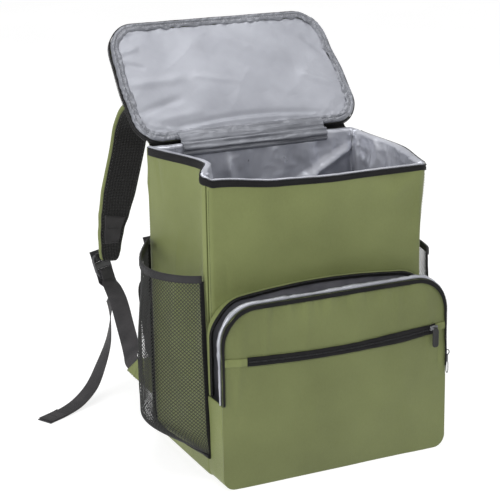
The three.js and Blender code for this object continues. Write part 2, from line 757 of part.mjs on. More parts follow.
function addPocketFrame() {
  const forward = new THREE.Vector3(0, -1, 0);
  const framesOf = (path, y) => {
    return path.map((p) => ({
      origin: new THREE.Vector3(p.x, y, p.y),
      across: new THREE.Vector3(p.normal.x, 0, p.normal.y),
      out: forward,
    }));
  };
  const faceBack = pocketFront + faceThickness + seamGap;
  const path = pocketFootPath(0);
  const gusset = path.map((p) => {
    const sewn = p.y > 2 * pocketFootRadius ? halfDepth - cornerRadius : halfDepth + seamGap;
    return rectangleSection(-gussetThickness, 0, sewn, -faceBack);
  });
  const sectionAt = (share) => gusset[Math.round(share * (path.length - 1))];
  addPiece("pocket_gusset", sweep(framesOf(path, 0), sectionAt), green);

  const outer = pocketTopPath(0);
  const columns = [...outer.keys()];
  const faceTape = slab(columns, [0, 1], (column, inset, side) => {
    const { x, y, normal } = outer[column];
    const climbed = (y - zipEndHeight) / (pocketHeight - zipEndHeight);
    const width = inset * mix(faceTapeEnd, faceTapeWidth, ease((climbed - 0.33) / 0.61));
    return faceAt(x - normal.x * width, y - normal.y * width, 2 * seamGap + (1 - side) * tapeThickness);
  });
  addPiece("pocket_face_tape", faceTape, black);

  const pipeSides = 6;
  const pipe = spaced(0, pipeSides - 1, (pipeSides - 1) / pipeSides).map((share) => {
    const angle = share * 2 * Math.PI;
    return [edgePipeRadius * Math.cos(angle), edgePipeRadius * Math.sin(angle)];
  });
  const pipeBack = pocketFront + faceThickness + seamGap + edgePipeRadius;
  const pipePath = framesOf(pocketTopPath(edgePipeRadius * 0.4), pipeBack);
  addPiece("pocket_edge_binding", sweep(pipePath, pipe), silver);

  const angle = [
    [-backTapeWidth, seamGap],
    [0, seamGap],
    [0, backTapeDepth],
    [-tapeThickness, backTapeDepth],
    [-tapeThickness, seamGap + tapeThickness],
    [-backTapeWidth, seamGap + tapeThickness],
  ];
  addPiece("pocket_back_tape", sweep(framesOf(pocketTopPath(gussetThickness), -halfDepth), angle), black);

  const margin = gussetThickness + backTapeWidth + seamGap;
  const liningHalf = pocketHalf - margin;
  const liningTop = pocketHeight - margin;
  const liningRadius = pocketRadius - margin;
  const backing = slab(cornerColumns(liningHalf, liningRadius), [0, 1], (x, share, side) => {
    const z = mix(baseRadius, topAt(x, liningHalf, liningTop, liningRadius), share);
    return new THREE.Vector3(x, -halfDepth - seamGap - (1 - side) * liningThickness, z);
  });
  addPiece("pocket_lining", backing, darkGrey);
}

// Mesh side pockets: share runs from the front edge to the back edge, high from the foot to the top
function meshAt(pocket, share, high, lift) {
  const front = -halfDepth + meshFrontInset - meshFrontLean * (1 - high) * (1 - share);
  const y = mix(front, halfDepth - meshBackInset, share);
  const foot = mix(meshFootFront, meshFootBack, share);
  const skew = 0.7; // puts the fullest place forward of the middle
  const swell = Math.sin(Math.PI * share ** skew);
  const rise = ease(high / 0.2) ** 0.62 * (1 - pocket.tuck * ease((high - 0.5) / 0.5));
  const side = pocketHalf + seamGap + lift + pocket.bulge * swell * rise;
  const top = meshTop - pocket.drop + meshTopRise * share;
  return new THREE.Vector3(pocket.hand * side, y, mix(foot, top, high));
}

function addMeshPocket(name, pocket) {
  const shares = spaced(0, 12, 1);
  const trimHigh = meshTrimWidth / meshTop;
  const bandLow = 1 - meshBandWidth / meshTop;
  const highs = [0, trimHigh, 0.05, 0.09, 0.14, 0.2, 0.5, 0.76, bandLow, 1];
  addPiece(
    "mesh_pocket_" + name,
    slab(shares, highs, (share, high, side) => meshAt(pocket, share, high, (1 - side) * meshThickness)),
    black,
  );
  const over = meshThickness + seamGap;
  addPiece(
    "mesh_band_" + name,
    slab(shares, [bandLow, 1], (share, high, side) => {
      return meshAt(pocket, share, high, over + (1 - side) * meshBandThickness);
    }),
    black,
  );
  addPiece(
    "mesh_trim_" + name,
    slab(shares, [0, trimHigh], (share, high, side) => {
      return meshAt(pocket, share, high, over + (1 - side) * tapeThickness);
    }),
    black,
  );
}

// Frames along points, each with its own width direction, at equal steps of the curve
function framesAlong(points, acrossAt, steps) {
  const curve = new THREE.CatmullRomCurve3(points, false, "centripetal");
  return spaced(0, steps, 1).map((share) => {
    const along = curve.getTangent(share);
    const wide = acrossAt(share);
    const across = wide.addScaledVector(along, -wide.dot(along)).normalize();
    const out = new THREE.Vector3().crossVectors(across, along);
    return { origin: curve.getPoint(share), across, out, along };
  });
}

function heading(turn, tilt = 0) {
  const [a, b] = [turn, tilt].map(THREE.MathUtils.degToRad);
  return new THREE.Vector3(Math.cos(a) * Math.cos(b), Math.sin(a) * Math.cos(b), Math.sin(b));
}

// A row of a strap table as a point, lifted above the floor by rest
function strapPoint(row, rest = 0) {
  const seat = halfDepth + seamGap + strapFoam / 2;
  const behind = seat + row.back * strapReach;
  return new THREE.Vector3(row.across * halfWidth, behind, rest + row.up * bodyHeight);
}

function lockOutline() {
  const shape = new THREE.Shape();
  const [w, h, r] = [lockWidth / 2, lockLength / 2, lockCorner];
  shape.moveTo(-w + r, -h);
  shape.lineTo(w - r, -h);
  shape.absarc(w - r, -h + r, r, -Math.PI / 2, 0);
  shape.lineTo(w, h - r);
  shape.absarc(w - r, h - r, r, 0, Math.PI / 2);
  shape.lineTo(-w + r, h);
  shape.absarc(-w + r, h - r, r, Math.PI / 2, Math.PI);
  shape.lineTo(-w, -h + r);
  shape.absarc(-w + r, -h + r, r, Math.PI, 1.5 * Math.PI);
  const slotHalf = w - lockBar * 0.7;
  for (const low of [-lockSlot - lockBar / 2, lockBar / 2]) {
    const slot = new THREE.Path();
    slot.moveTo(-slotHalf, low);
    slot.lineTo(-slotHalf, low + lockSlot);
    slot.lineTo(slotHalf, low + lockSlot);
    slot.lineTo(slotHalf, low);
    shape.holes.push(slot);
  }
  return shape;
}

// One shoulder strap: pad, mesh face, lock, loop, webbing with its free end, and the tab that anchors it
function addStrap(name, { hand, padRows, webRows, tailRows, lockTurn }) {
  const padPoints = padRows.map((row) => strapPoint(row));
  const frames = framesAlong(padPoints, () => new THREE.Vector3(1, 0, 0), padSteps);
  const widthAt = (share) => strapWidth * fromTable(padWidthRows, "share", "width", share);
  const pad = sweep(frames, (share) => cushionSection(widthAt(share), strapFoam));
  addPiece("strap_pad_" + name, pad, green);
  const meshNear = -strapFoam / 2 - 2 * seamGap;
  const meshFace = sweep(frames.slice(bareSteps), (share) => {
    const half = widthAt(mix(bareSteps / padSteps, 1, share)) / 2 - strapMeshMargin;
    return rectangleSection(-half, half, meshNear, meshNear - strapMesh);
  });
  addPiece("strap_mesh_" + name, meshFace, black);

  const up = new THREE.Vector3(0, 0, 1);
  const end = frames[frames.length - 1];
  const across = heading(lockTurn);
  const behind = heading(lockTurn + 90);
  const centre = end.origin.clone().addScaledVector(behind, lockBehind).addScaledVector(up, -lockBelow);
  const tipped = THREE.MathUtils.degToRad(lockLean);
  const down = up.clone().multiplyScalar(-Math.cos(tipped)).addScaledVector(behind, -Math.sin(tipped));
  const out = new THREE.Vector3().crossVectors(across, down);
  const at = (below, outward) => {
    return centre.clone().addScaledVector(down, below).addScaledVector(out, outward);
  };

  const lock = new THREE.ExtrudeGeometry(lockOutline(), {
    depth: lockThickness,
    bevelEnabled: false,
    curveSegments: 3,
  });
  lock.translate(0, 0, -lockThickness / 2);
  const lockMesh = addPiece("ladder_lock_" + name, lock, hardBlack);
  lockMesh.position.copy(centre);
  lockMesh.quaternion.setFromRotationMatrix(new THREE.Matrix4().makeBasis(across, down, out));

  const web = rectangleSection(-webWidth / 2, webWidth / 2, -webThickness / 2, webThickness / 2);
  const pass = lockThickness / 2 + 2.5 * seamGap + webThickness;
  const slotMiddle = (lockBar + lockSlot) / 2;
  const throughSlot = (turn) => [
    at(turn * (slotMiddle + slotRun), -pass),
    at(turn * (slotMiddle + slotBend), seamGap - pass),
    at(turn * slotMiddle, 0),
    at(turn * (slotMiddle + slotBend), pass - seamGap),
    at(turn * (slotMiddle + slotRun), pass),
  ];
  const padLift = strapFoam / 2 + 4 * seamGap + webThickness;
  const onPad = (above) => {
    return end.origin.clone().addScaledVector(end.along, -above).addScaledVector(end.out, padLift);
  };
  const loopEnd = at(-slotMiddle - loopFold, pass + seamGap);
  const loopPoints = [onPad(loopSewn), onPad(loopFree), ...throughSlot(-1), loopEnd];
  const legs = loopPoints.length - 1;
  const loopAcross = (share) => end.across.clone().lerp(across, ease(share * legs - 0.9));
  addPiece("lock_loop_" + name, sweep(framesAlong(loopPoints, loopAcross, 3 * legs), web), black);

  const corner = planAt(hand < 0 ? 5.5 : 3.5, -seamGap).point;
  const root = (z) => new THREE.Vector3(corner.x, corner.y, z);
  const tip = new THREE.Vector3(hand * (halfWidth + tabOut), halfDepth + tabBehind, tabTipHeight);
  const reachOut = tip.clone().sub(root(tabTipHeight)).normalize();
  const tabFace = new THREE.Vector3(hand * reachOut.y, -hand * reachOut.x, 0);
  const tipAcross = up.clone().sub(reachOut).normalize();
  const tipEnd = (share) => tip.clone().addScaledVector(tipAcross, (share - 0.5) * webWidth);
  const tab = slab([0, 0.5, 1], [0, 0.5, 1], (reach, high, side) => {
    const seam = root(mix(tabLow, tabHigh, high));
    return seam.lerp(tipEnd(high), reach).addScaledVector(tabFace, (1 - side) * tabThickness);
  });
  addPiece("anchor_tab_" + name, tab, green);

  const ahead = up.clone().add(reachOut).normalize();
  const seat = 2 * seamGap + webThickness / 2;
  const onTab = (far, off) => {
    return tip.clone().addScaledVector(ahead, far).addScaledVector(tabFace, -seat - off);
  };
  const rest = webThickness / 2 + seamGap;
  const webPoints = [
    onTab(-tabSewn, 0),
    onTab(-0.4 * tabSewn, seamGap / 2),
    onTab(0.3 * tabSewn, webThickness),
    ...webRows.map((row) => strapPoint(row)),
    at(slotMiddle + webRun, -pass),
    ...throughSlot(1),
    at(slotMiddle + webRun, pass + seamGap),
    ...tailRows.map((row) => strapPoint(row, rest)),
  ];
  const headings = [
    ...[tipAcross, tipAcross, tipAcross],
    ...webRows.map((row) => heading(row.turn, row.tilt)),
    across,
    ...throughSlot(1).map(() => across),
    across,
    ...tailRows.map((row) => heading(row.turn)),
  ];
  const acrosses = [headings[0]];
  for (const next of headings.slice(1)) {
    const flipped = next.dot(acrosses[acrosses.length - 1]) < 0;
    acrosses.push(next.clone().multiplyScalar(flipped ? -1 : 1));
  }
  const acrossAt = (share) => {
    const where = share * (acrosses.length - 1);
    const low = Math.min(acrosses.length - 2, Math.floor(where));
    return acrosses[low].clone().lerp(acrosses[low + 1], where - low);
  };
  const webSteps = 3 * (webPoints.length - 1);
  addPiece("webbing_" + name, sweep(framesAlong(webPoints, acrossAt, webSteps), web), black);
}

// A slider with its pull, both lying on a face whose outward direction is +Z of the group
function addSlider(name, position, facing, along) {
  const group = new THREE.Group();
  const shape = new THREE.Shape();
  const [w, l] = [sliderWidth / 2, sliderLength / 2];
  shape.moveTo(-w * 0.6, -l);
  shape.lineTo(w * 0.6, -l);
  shape.lineTo(w, l * 0.3);
  shape.lineTo(w * 0.8, l);
  shape.lineTo(-w * 0.8, l);
  shape.lineTo(-w, l * 0.3);
  const body = new THREE.ExtrudeGeometry(shape, { depth: sliderHeight, bevelEnabled: false });
  addPiece(name + "_slider", body, steel, group);
  const tab = new THREE.Shape();
  const half = pullWidth / 2;
  tab.moveTo(-half, -pullLength);
  tab.lineTo(half, -pullLength);
  tab.lineTo(half, -pullEye);
  tab.lineTo(half * 0.6, pullEye * 1.6);
  tab.lineTo(-half * 0.6, pullEye * 1.6);
  tab.lineTo(-half, -pullEye);
  const eye = new THREE.Path();
  eye.absarc(0, -pullEye * 0.6, pullEye * 0.8, 0, 2 * Math.PI, true);
  tab.holes.push(eye);
  const pull = new THREE.ExtrudeGeometry(tab, {
    depth: pullThickness,
    bevelEnabled: false,
    curveSegments: 6,
  });
  const pullMesh = addPiece(name + "_pull", pull, hardBlack, group);
  const side = new THREE.Vector3().crossVectors(along, facing);
  group.quaternion.setFromRotationMatrix(new THREE.Matrix4().makeBasis(side, along, facing));
  group.position.copy(position);
  backpack.add(group);
  return { group, pullMesh };
}

function addSliders() {
  const up = new THREE.Vector3(0, 0, 1);
  const forward = new THREE.Vector3(0, -1, 0);
  const right = new THREE.Vector3(1, 0, 0);
  const lift = 3 * seamGap + tapeThickness;

  const smallPlace = faceAt(smallZipEnd - 0.36 * sliderLength, smallZipHeight, lift);
  const small = addSlider("small_zip", smallPlace, forward, right);
  small.pullMesh.rotation.z = Math.PI / 2;
  small.pullMesh.position.set(pullOffset, 0, sliderHeight + seamGap);

  const pocketPlace = new THREE.Vector3(
    pocketHalf + seamGap,
    pocketFront + faceThickness + sliderWidth,
    zipEndHeight + sliderLength / 2 + seamGap,
  );
  const pocket = addSlider("pocket_zip", pocketPlace, right, up);
  pocket.pullMesh.position.set(0, -pullOffset, sliderHeight + seamGap);
}

addWallPanel("front_panel", frontPlaces);
addWallPanel("right_panel", rightPlaces);
addWallPanel("back_panel", backPlaces);
addWallPanel("left_panel", leftPlaces);
addBasePanel();
addLining();
addRimTape();
addLid();
addHinge();
addPocketFace();
addPocketFrame();
addMeshPocket("left", leftMesh);
addMeshPocket("right", rightMesh);
addStrap("left", {
  hand: -1,
  padRows: leftPadRows,
  webRows: leftWebRows,
  tailRows: leftTailRows,
  lockTurn: 29,
});
addStrap("right", {
  hand: 1,
  padRows: rightPadRows,
  webRows: rightWebRows,
  tailRows: rightTailRows,
  lockTurn: 12,
});
addSliders();

export default backpack;
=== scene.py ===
# Cooler backpack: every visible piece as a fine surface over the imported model, with its cloth, net and fittings.
import bpy
import numpy as np
from mathutils import Matrix


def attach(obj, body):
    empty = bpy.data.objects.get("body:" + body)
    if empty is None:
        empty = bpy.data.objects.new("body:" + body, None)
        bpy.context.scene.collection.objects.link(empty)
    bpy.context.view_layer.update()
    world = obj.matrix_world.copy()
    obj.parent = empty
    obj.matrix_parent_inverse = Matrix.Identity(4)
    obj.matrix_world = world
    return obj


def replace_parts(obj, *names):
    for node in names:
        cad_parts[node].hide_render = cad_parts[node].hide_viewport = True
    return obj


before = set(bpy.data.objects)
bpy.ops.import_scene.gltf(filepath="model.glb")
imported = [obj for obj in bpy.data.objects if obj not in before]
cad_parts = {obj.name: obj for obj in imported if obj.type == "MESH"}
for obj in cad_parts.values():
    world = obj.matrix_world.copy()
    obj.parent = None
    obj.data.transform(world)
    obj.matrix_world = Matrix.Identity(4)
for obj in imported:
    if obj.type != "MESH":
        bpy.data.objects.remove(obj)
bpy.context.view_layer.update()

print("frame loaded:", len(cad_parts), "nodes")

# The bag's sizes in millimetres, the same as those of its solids
bag = {
    "width": 310, "depth": 190, "height": 385, "corner": 12, "roll": 6.5, "wall": 5, "lining": 1.2, "gap": 0.4,
    "tape": 1.2, "rimTape": 9,
}
halfWidth = bag["width"] / 2
halfDepth = bag["depth"] / 2
gap = bag["gap"]
liningInner = bag["wall"] + 2 * gap + bag["lining"]
metresPerUnit = 0.001
toRight, toFront, toTop = np.array([1.0, 0, 0]), np.array([0, -1.0, 0]), np.array([0, 0, 1.0])


# --- arithmetic on whole arrays ---

# Blend: a + (b - a) * share
def mix(a, b, share):
    return a + (b - a) * share


# Smooth step: 3t^2 - 2t^3, held between 0 and 1
def ease(t):
    held = np.clip(t, 0, 1)
    return held * held * (3 - 2 * held)


# A table of (key, value) rows, eased between neighbouring rows
def fromTable(rows, value):
    table = np.array(rows, float)
    keys, values = table[:, 0], table[:, 1]
    low = np.clip(np.searchsorted(keys, value, side="right") - 1, 0, len(keys) - 2)
    share = (value - keys[low]) / (keys[low + 1] - keys[low])
    return mix(values[low], values[low + 1], ease(share))


# Values through knots, with a number of equal steps between each two
def spaced(knots, counts):
    parts = [np.linspace(a, b, n, endpoint=False) for a, b, n in zip(knots[:-1], knots[1:], counts)]
    return np.concatenate(parts + [[knots[-1]]])


# The same values with three more close to each end, for a rounded edge
def withEdges(values, edge):
    near = np.array([0.12, 0.4, 0.8]) * edge
    return np.unique(np.concatenate([values[:1], values[0] + near, values[1:-1], values[-1] - near, values[-1:]]))


# Values at equal steps from low to high, with three more close to each end
def edged(low, high, count, edge):
    return withEdges(spaced([low, high], [count]), edge)


# Two arrays over a grid: the first changes from row to row, the second from column to column
def gridOf(rows, columns):
    return np.meshgrid(rows, columns, indexing="ij")


# Points from three coordinates, each an array or one number
def pointsAt(x, y, z):
    return np.stack(np.broadcast_arrays(x, y, z), axis=-1)


primes = (73856093, 19349663, 83492791, 2654435761, 1274126177)  # that mix a node's numbers and the seed


# Value noise: random numbers on a lattice of the given size, eased between its eight nearest nodes
def cloudNoise(points, size, seed):
    scaled = points / np.array(size, float)
    cell = np.floor(scaled).astype(np.int64)
    part = ease(scaled - cell)
    total = np.zeros(points.shape[:-1])
    for corner in np.ndindex(2, 2, 2):
        node = cell + np.array(corner)
        mixed = node[..., 0] * primes[0] ^ node[..., 1] * primes[1] ^ node[..., 2] * primes[2] ^ seed * primes[3]
        mixed = (mixed ^ (mixed >> 13)) * primes[4] & 0x7FFFFFFF
        mixed = (mixed ^ (mixed >> 16)) & 0xFFFF
        weight = np.prod(np.where(np.array(corner) > 0, part, 1 - part), axis=-1)
        total += weight * (mixed / 32767.5 - 1)
    return total


# Two scales of noise, the finer one at half the size and 0.45 of the height
def softCloud(points, size, seed):
    size = np.array(size, float)
    return cloudNoise(points, size, seed) + 0.45 * cloudNoise(points, size * 0.5, seed + 17)


# Sharp creases where the noise crosses zero: (1 - |noise|) to a power
def creases(points, size, seed, power=5.0):
    return np.clip(1 - np.abs(softCloud(points, size, seed)), 0, 1) ** power


# Upright folds on a surface: each row gives where a fold starts and ends, its half width, its depth, and the
# heights between which it runs. Its profile is (1 - |distance| / half width) to the power 1.6.
def foldsAt(u, v, rows):
    total = np.zeros(np.broadcast(u, v).shape)
    for top, foot, wide, deep, low, high in rows:
        middle = mix(foot, top, v)
        near = np.clip(1 - np.abs(u - middle) / wide, 0, 1) ** 1.6
        fade = ease((v - low) / 0.18) * ease((high - v) / 0.12)
        total += deep * near * fade
    return total


# Soft folds along straight strokes: each row gives a stroke's two ends, its half width and its height, which falls
# off as a bell to its sides and eases to nothing at its ends
def strokesAt(u, v, rows):
    total = np.zeros(np.broadcast(u, v).shape)
    for u0, v0, u1, v1, wide, deep in rows:
        du, dv = u1 - u0, v1 - v0
        share = ((u - u0) * du + (v - v0) * dv) / (du ** 2 + dv ** 2)
        away = ((u - u0) * dv - (v - v0) * du) / np.hypot(du, dv)
        total += deep * np.exp(-(away / wide) ** 2) * ease(share * 3 + 0.3) * ease((1 - share) * 3 + 0.3)
    return total


# How far a rounded corner draws in, at a reach past the start of its arc: r - sqrt(r^2 - past^2)
def cornerCut(radius, past):
    return radius - np.sqrt(np.maximum(radius ** 2 - np.clip(past, 0, radius) ** 2, 0))


# Vectors divided by their lengths
def unit(vectors):
    return vectors / np.maximum(np.linalg.norm(vectors, axis=-1, keepdims=True), 1e-9)


# Normals of a grid: the cross product of its slopes along the columns and the rows
def gridNormals(grid):
    return unit(np.cross(np.gradient(grid, axis=1), np.gradient(grid, axis=0)))


# --- meshes ---

# Quads of a grid of vertex numbers, joined round the columns if wrapped
def gridQuads(index, wrapped=False):
    if wrapped:
        index = np.concatenate([index, index[:, :1]], axis=1)
    return np.stack([index[:-1, :-1], index[:-1, 1:], index[1:, 1:], index[1:, :-1]], axis=-1).reshape(-1, 4)


# Six times the volume that the faces enclose, to tell an inside-out shell
def signedVolume(points, quads):
    a, b, c, d = (points[quads[:, k]] for k in range(4))
    return np.sum(a * np.cross(b, c)) + np.sum(a * np.cross(c, d))


# Puts points in millimetres and quads into a mesh object, with a UV map in metres along the surface
def addMesh(name, points, quads, material, uv=None, replaced=(), slot=None, turned=None):
    if signedVolume(points, quads) < 0 if turned is None else turned:
        quads = quads[:, ::-1]
    mesh = bpy.data.meshes.new(name)
    mesh.vertices.add(len(points))
    mesh.vertices.foreach_set("co", (points * metresPerUnit).ravel())
    mesh.loops.add(quads.size)
    mesh.loops.foreach_set("vertex_index", quads.ravel().astype(np.int32))
    mesh.polygons.add(len(quads))
    mesh.polygons.foreach_set("loop_start", np.arange(0, quads.size, 4, dtype=np.int32))
    mesh.polygons.foreach_set("use_smooth", np.ones(len(quads), bool))
    if uv is not None:
        layer = mesh.uv_layers.new(name="surface")
        layer.data.foreach_set("uv", (uv[quads.ravel()] * metresPerUnit).ravel())
    mesh.update()
    mesh.validate()
    piece = bpy.data.objects.new(name, mesh)
    bpy.context.collection.objects.link(piece)
    mesh.materials.append(material)
    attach(piece, "root")
    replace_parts(piece, *replaced) if replaced else piece
    return piece


# Distance along a grid's rows or columns, from its first line
def alongGrid(grid, axis):
    steps = np.linalg.norm(np.diff(grid, axis=axis), axis=-1)
    start = np.zeros_like(np.take(steps, [0], axis=axis))
    return np.concatenate([start, np.cumsum(steps, axis=axis)], axis=axis)


# A closed cloth shell: outer and inner grids share their border, and the thickness falls to nothing there on a
# round profile, sqrt(1 - (1 - d / edge)^2), where d is the distance to the border
def addShell(name, outer, inner, material, edge=1.0, wrapped=False, **about):
    across, up = alongGrid(outer, 1), alongGrid(outer, 0)
    border = np.minimum(up, up[-1:] - up)
    if not wrapped:
        border = np.minimum(border, np.minimum(across, across[:, -1:] - across))
    near = np.clip(border / edge, 0, 1)
    fullness = np.sqrt(np.clip(1 - (1 - near) ** 2, 0, 1))[..., None]
    middle, half = (outer + inner) / 2, (outer - inner) / 2
    outer, inner = middle + half * fullness, middle - half * fullness
    rows, columns = outer.shape[:2]
    index = np.arange(rows * columns).reshape(rows, columns)
    inside = np.zeros((rows, columns), bool)
    inside[1:-1, :] = True
    if not wrapped:
        inside[:, [0, -1]] = False
    innerIndex = index.copy()
    innerIndex[inside] = rows * columns + np.arange(inside.sum())
    points = np.concatenate([outer.reshape(-1, 3), inner[inside]])
    quads = np.concatenate([gridQuads(index, wrapped), gridQuads(innerIndex, wrapped)[:, ::-1]])
    flat = np.stack([across, up], axis=-1)
    uv = np.concatenate([flat.reshape(-1, 2), flat[inside]])
    return addMesh(name, points, quads, material, uv, **about)


# A closed bar: rings of section points along a path, each end closed by rings that shrink to a point
def addBar(name, rings, material, wrapped=False, **about):
    if not wrapped:
        middles = rings[[0, -1]].mean(axis=1, keepdims=True)
        first = [mix(middles[:1], rings[:1], share) for share in (0.001, 0.6)]
        last = [mix(middles[1:], rings[-1:], share) for share in (0.6, 0.001)]
        rings = np.concatenate(first + [rings] + last)
    steps, around = rings.shape[:2]
    index = np.arange(steps * around).reshape(steps, around)
    if wrapped:
        index = np.concatenate([index, index[:1]])
    quads = gridQuads(index, True)
    along, girth = alongGrid(rings, 0), alongGrid(rings, 1)
    uv = np.stack([along.mean(axis=1, keepdims=True) + 0 * along, girth], axis=-1).reshape(-1, 2)
    return addMesh(name, rings.reshape(-1, 3), quads, material, uv, **about)


# Rings for a bar: origin + across * a + out * b for each point (a, b) of a section
def ringsOf(origin, across, out, section):
    across, out = np.broadcast_to(across, origin.shape), np.broadcast_to(out, origin.shape)
    section = np.broadcast_to(np.asarray(section, float), (len(origin),) + np.shape(section)[-2:])
    return origin[:, None] + across[:, None] * section[..., :1] + out[:, None] * section[..., 1:]


# A rounded rectangle as a section, centred, with its corners cut on a radius
def padSection(wide, thick, radius, steps=3):
    turns = np.radians(spaced([0, 90], [steps]))
    corner = np.stack([np.cos(turns), np.sin(turns)], axis=-1) * radius
    x, y = wide / 2 - radius, thick / 2 - radius
    quarter = corner + [x, y]
    left = quarter[::-1] * [-1, 1]
    return np.concatenate([quarter, left, quarter * [-1, -1], (quarter * [1, -1])[::-1]])


# A circle as a section, centred
def roundSection(radius, count=8):
    turns = np.linspace(0, 2 * np.pi, count, endpoint=False)
    return np.stack([np.cos(turns), np.sin(turns)], axis=-1) * radius


# Points at equal distances along a polyline, with the values that go with it carried along
def evenly(path, step, *others):
    length = np.concatenate([[0], np.cumsum(np.linalg.norm(np.diff(path, axis=0), axis=1))])
    count = max(2, int(round(length[-1] / step)) + 1)
    at = np.linspace(0, length[-1], count)
    return [np.stack([np.interp(at, length, column) for column in line.T], axis=-1) for line in (path,) + others]


# A smooth curve through a few points: centripetal Catmull-Rom, by the Barry-Goldman triangle
def smoothLine(points, count):
    points = np.asarray(points, float)
    ends = [2 * points[0] - points[1], 2 * points[-1] - points[-2]]
    p = np.concatenate([ends[:1], points, ends[1:]])
    knot = np.concatenate([[0], np.cumsum(np.linalg.norm(np.diff(p, axis=0), axis=1) ** 0.5)])
    where = np.linspace(0, len(points) - 1, count)
    low = np.minimum(where.astype(int), len(points) - 2)
    t0, t1, t2, t3 = (knot[low + k][:, None] for k in range(4))
    t = mix(t1, t2, (where - low)[:, None])
    p0, p1, p2, p3 = (p[low + k] for k in range(4))
    a1 = (t1 - t) / (t1 - t0) * p0 + (t - t0) / (t1 - t0) * p1
    a2 = (t2 - t) / (t2 - t1) * p1 + (t - t1) / (t2 - t1) * p2
    a3 = (t3 - t) / (t3 - t2) * p2 + (t - t2) / (t3 - t2) * p3
    b1 = (t2 - t) / (t2 - t0) * a1 + (t - t0) / (t2 - t0) * a2
    b2 = (t3 - t) / (t3 - t1) * a2 + (t - t1) / (t3 - t1) * a3
    return (t2 - t) / (t2 - t1) * b1 + (t - t1) / (t2 - t1) * b2


threadSteps = {"shares": (0, 0.16, 0.5, 0.84, 1), "sizes": (0.2, 1, 1, 1, 0.2)}


# Short bars from one array of points to another, all in one mesh, for stitches, teeth and net: a square section
# stands at each share of the length, with its own size
def addThreads(name, starts, ends, outs, wide, high, material, steps=threadSteps, **about):
    along = unit(ends - starts)
    across = unit(np.cross(along, outs))
    out = np.cross(across, along)
    shape = np.array([[1, 0], [0, 1], [-1, 0], [0, -1]]) * [wide / 2, high / 2]
    spine = starts[:, None] + (ends - starts)[:, None] * np.array(steps["shares"])[None, :, None]
    ring = across[:, None, None] * shape[None, None, :, :1] + out[:, None, None] * shape[None, None, :, 1:]
    rings = spine[:, :, None] + ring * np.array(steps["sizes"])[None, :, None, None]
    index = np.arange(rings[..., 0].size).reshape(rings.shape[:3])
    closed = np.concatenate([index, index[:, :, :1]], axis=2)
    sides = np.stack([closed[:, :-1, :-1], closed[:, :-1, 1:], closed[:, 1:, 1:], closed[:, 1:, :-1]], axis=-1)
    caps = np.concatenate([index[:, 0, ::-1], index[:, -1]])
    return addMesh(name, rings.reshape(-1, 3), np.concatenate([sides.reshape(-1, 4), caps]), material, None, **about)


# Stitches along lines: each line is (points, one or more outward directions), cut into lengths with gaps between
def addStitches(name, lines, material, pitch=3.6, length=2.5, wide=0.55, high=0.45, lift=0.1, **about):
    starts, ends, outs = [], [], []
    for line, out in lines:
        at, facing = evenly(line, pitch, np.broadcast_to(out, line.shape))
        lean = (at[1:] - at[:-1]) * (length / pitch)
        facing = unit(facing[:-1])
        starts.append(at[:-1] + facing * lift)
        ends.append(at[:-1] + lean + facing * lift)
        outs.append(facing)
    return addThreads(name, *(np.concatenate(part) for part in (starts, ends, outs)), wide, high, material, **about)


# --- materials ---

# A colour from 0 to 255 as linear light, by the sRGB curve
def linear(red, green, blue):
    value = np.array([red, green, blue], float) / 255
    return tuple(np.where(value <= 0.04045, value / 12.92, ((value + 0.055) / 1.055) ** 2.4)) + (1.0,)


# Adds a shader node, with its inputs linked to sockets or set to values
def addNode(tree, kind, inputs=(), **settings):
    made = tree.nodes.new(kind)
    for key, value in settings.items():
        setattr(made, key, value)
    for key, value in dict(inputs).items():
        if isinstance(value, bpy.types.NodeSocket):
            tree.links.new(value, made.inputs[key])
        else:
            made.inputs[key].default_value = value
    return made


# A new material, with the values of its main shader
def startMaterial(name, roughness, metallic=0.0, sheen=0.0, specular=0.5):
    material = bpy.data.materials.new(name)
    material.use_nodes = True
    tree = material.node_tree
    shader = tree.nodes["Principled BSDF"]
    shader.inputs["Roughness"].default_value = roughness
    shader.inputs["Metallic"].default_value = metallic
    shader.inputs["Sheen Weight"].default_value = sheen
    shader.inputs["Specular IOR Level"].default_value = specular
    return material, tree, shader


# Colour from a noise: a ramp between two colours
def tint(tree, factor, dark, light, low=0.3, high=0.7):
    ramp = addNode(tree, "ShaderNodeValToRGB", {"Fac": factor})
    ramp.color_ramp.elements[0].position = low
    ramp.color_ramp.elements[0].color = dark
    ramp.color_ramp.elements[1].position = high
    ramp.color_ramp.elements[1].color = light
    return ramp.outputs["Color"]


# Noise over a place, from 0 to 1, stretched by a factor for each axis
def noise(tree, vector, scale, detail=2.0, roughness=0.5, stretch=None):
    if stretch is not None:
        vector = addNode(tree, "ShaderNodeMapping", {"Vector": vector, "Scale": stretch}).outputs["Vector"]
    made = addNode(tree, "ShaderNodeTexNoise", {"Vector": vector, "Scale": scale, "Detail": detail,
                                                "Roughness": roughness})
    return made.outputs["Fac"]


# Normals tilted by the slope of a height, whose full range is a distance in metres
def bump(tree, height, distance, strength=1.0, under=None):
    inputs = {"Height": height, "Distance": distance, "Strength": strength}
    if under is not None:
        inputs["Normal"] = under
    return addNode(tree, "ShaderNodeBump", inputs).outputs["Normal"]


# One operation on two numbers or sockets
def maths(tree, operation, a, b=0.0):
    return addNode(tree, "ShaderNodeMath", {0: a, 1: b}, operation=operation).outputs[0]


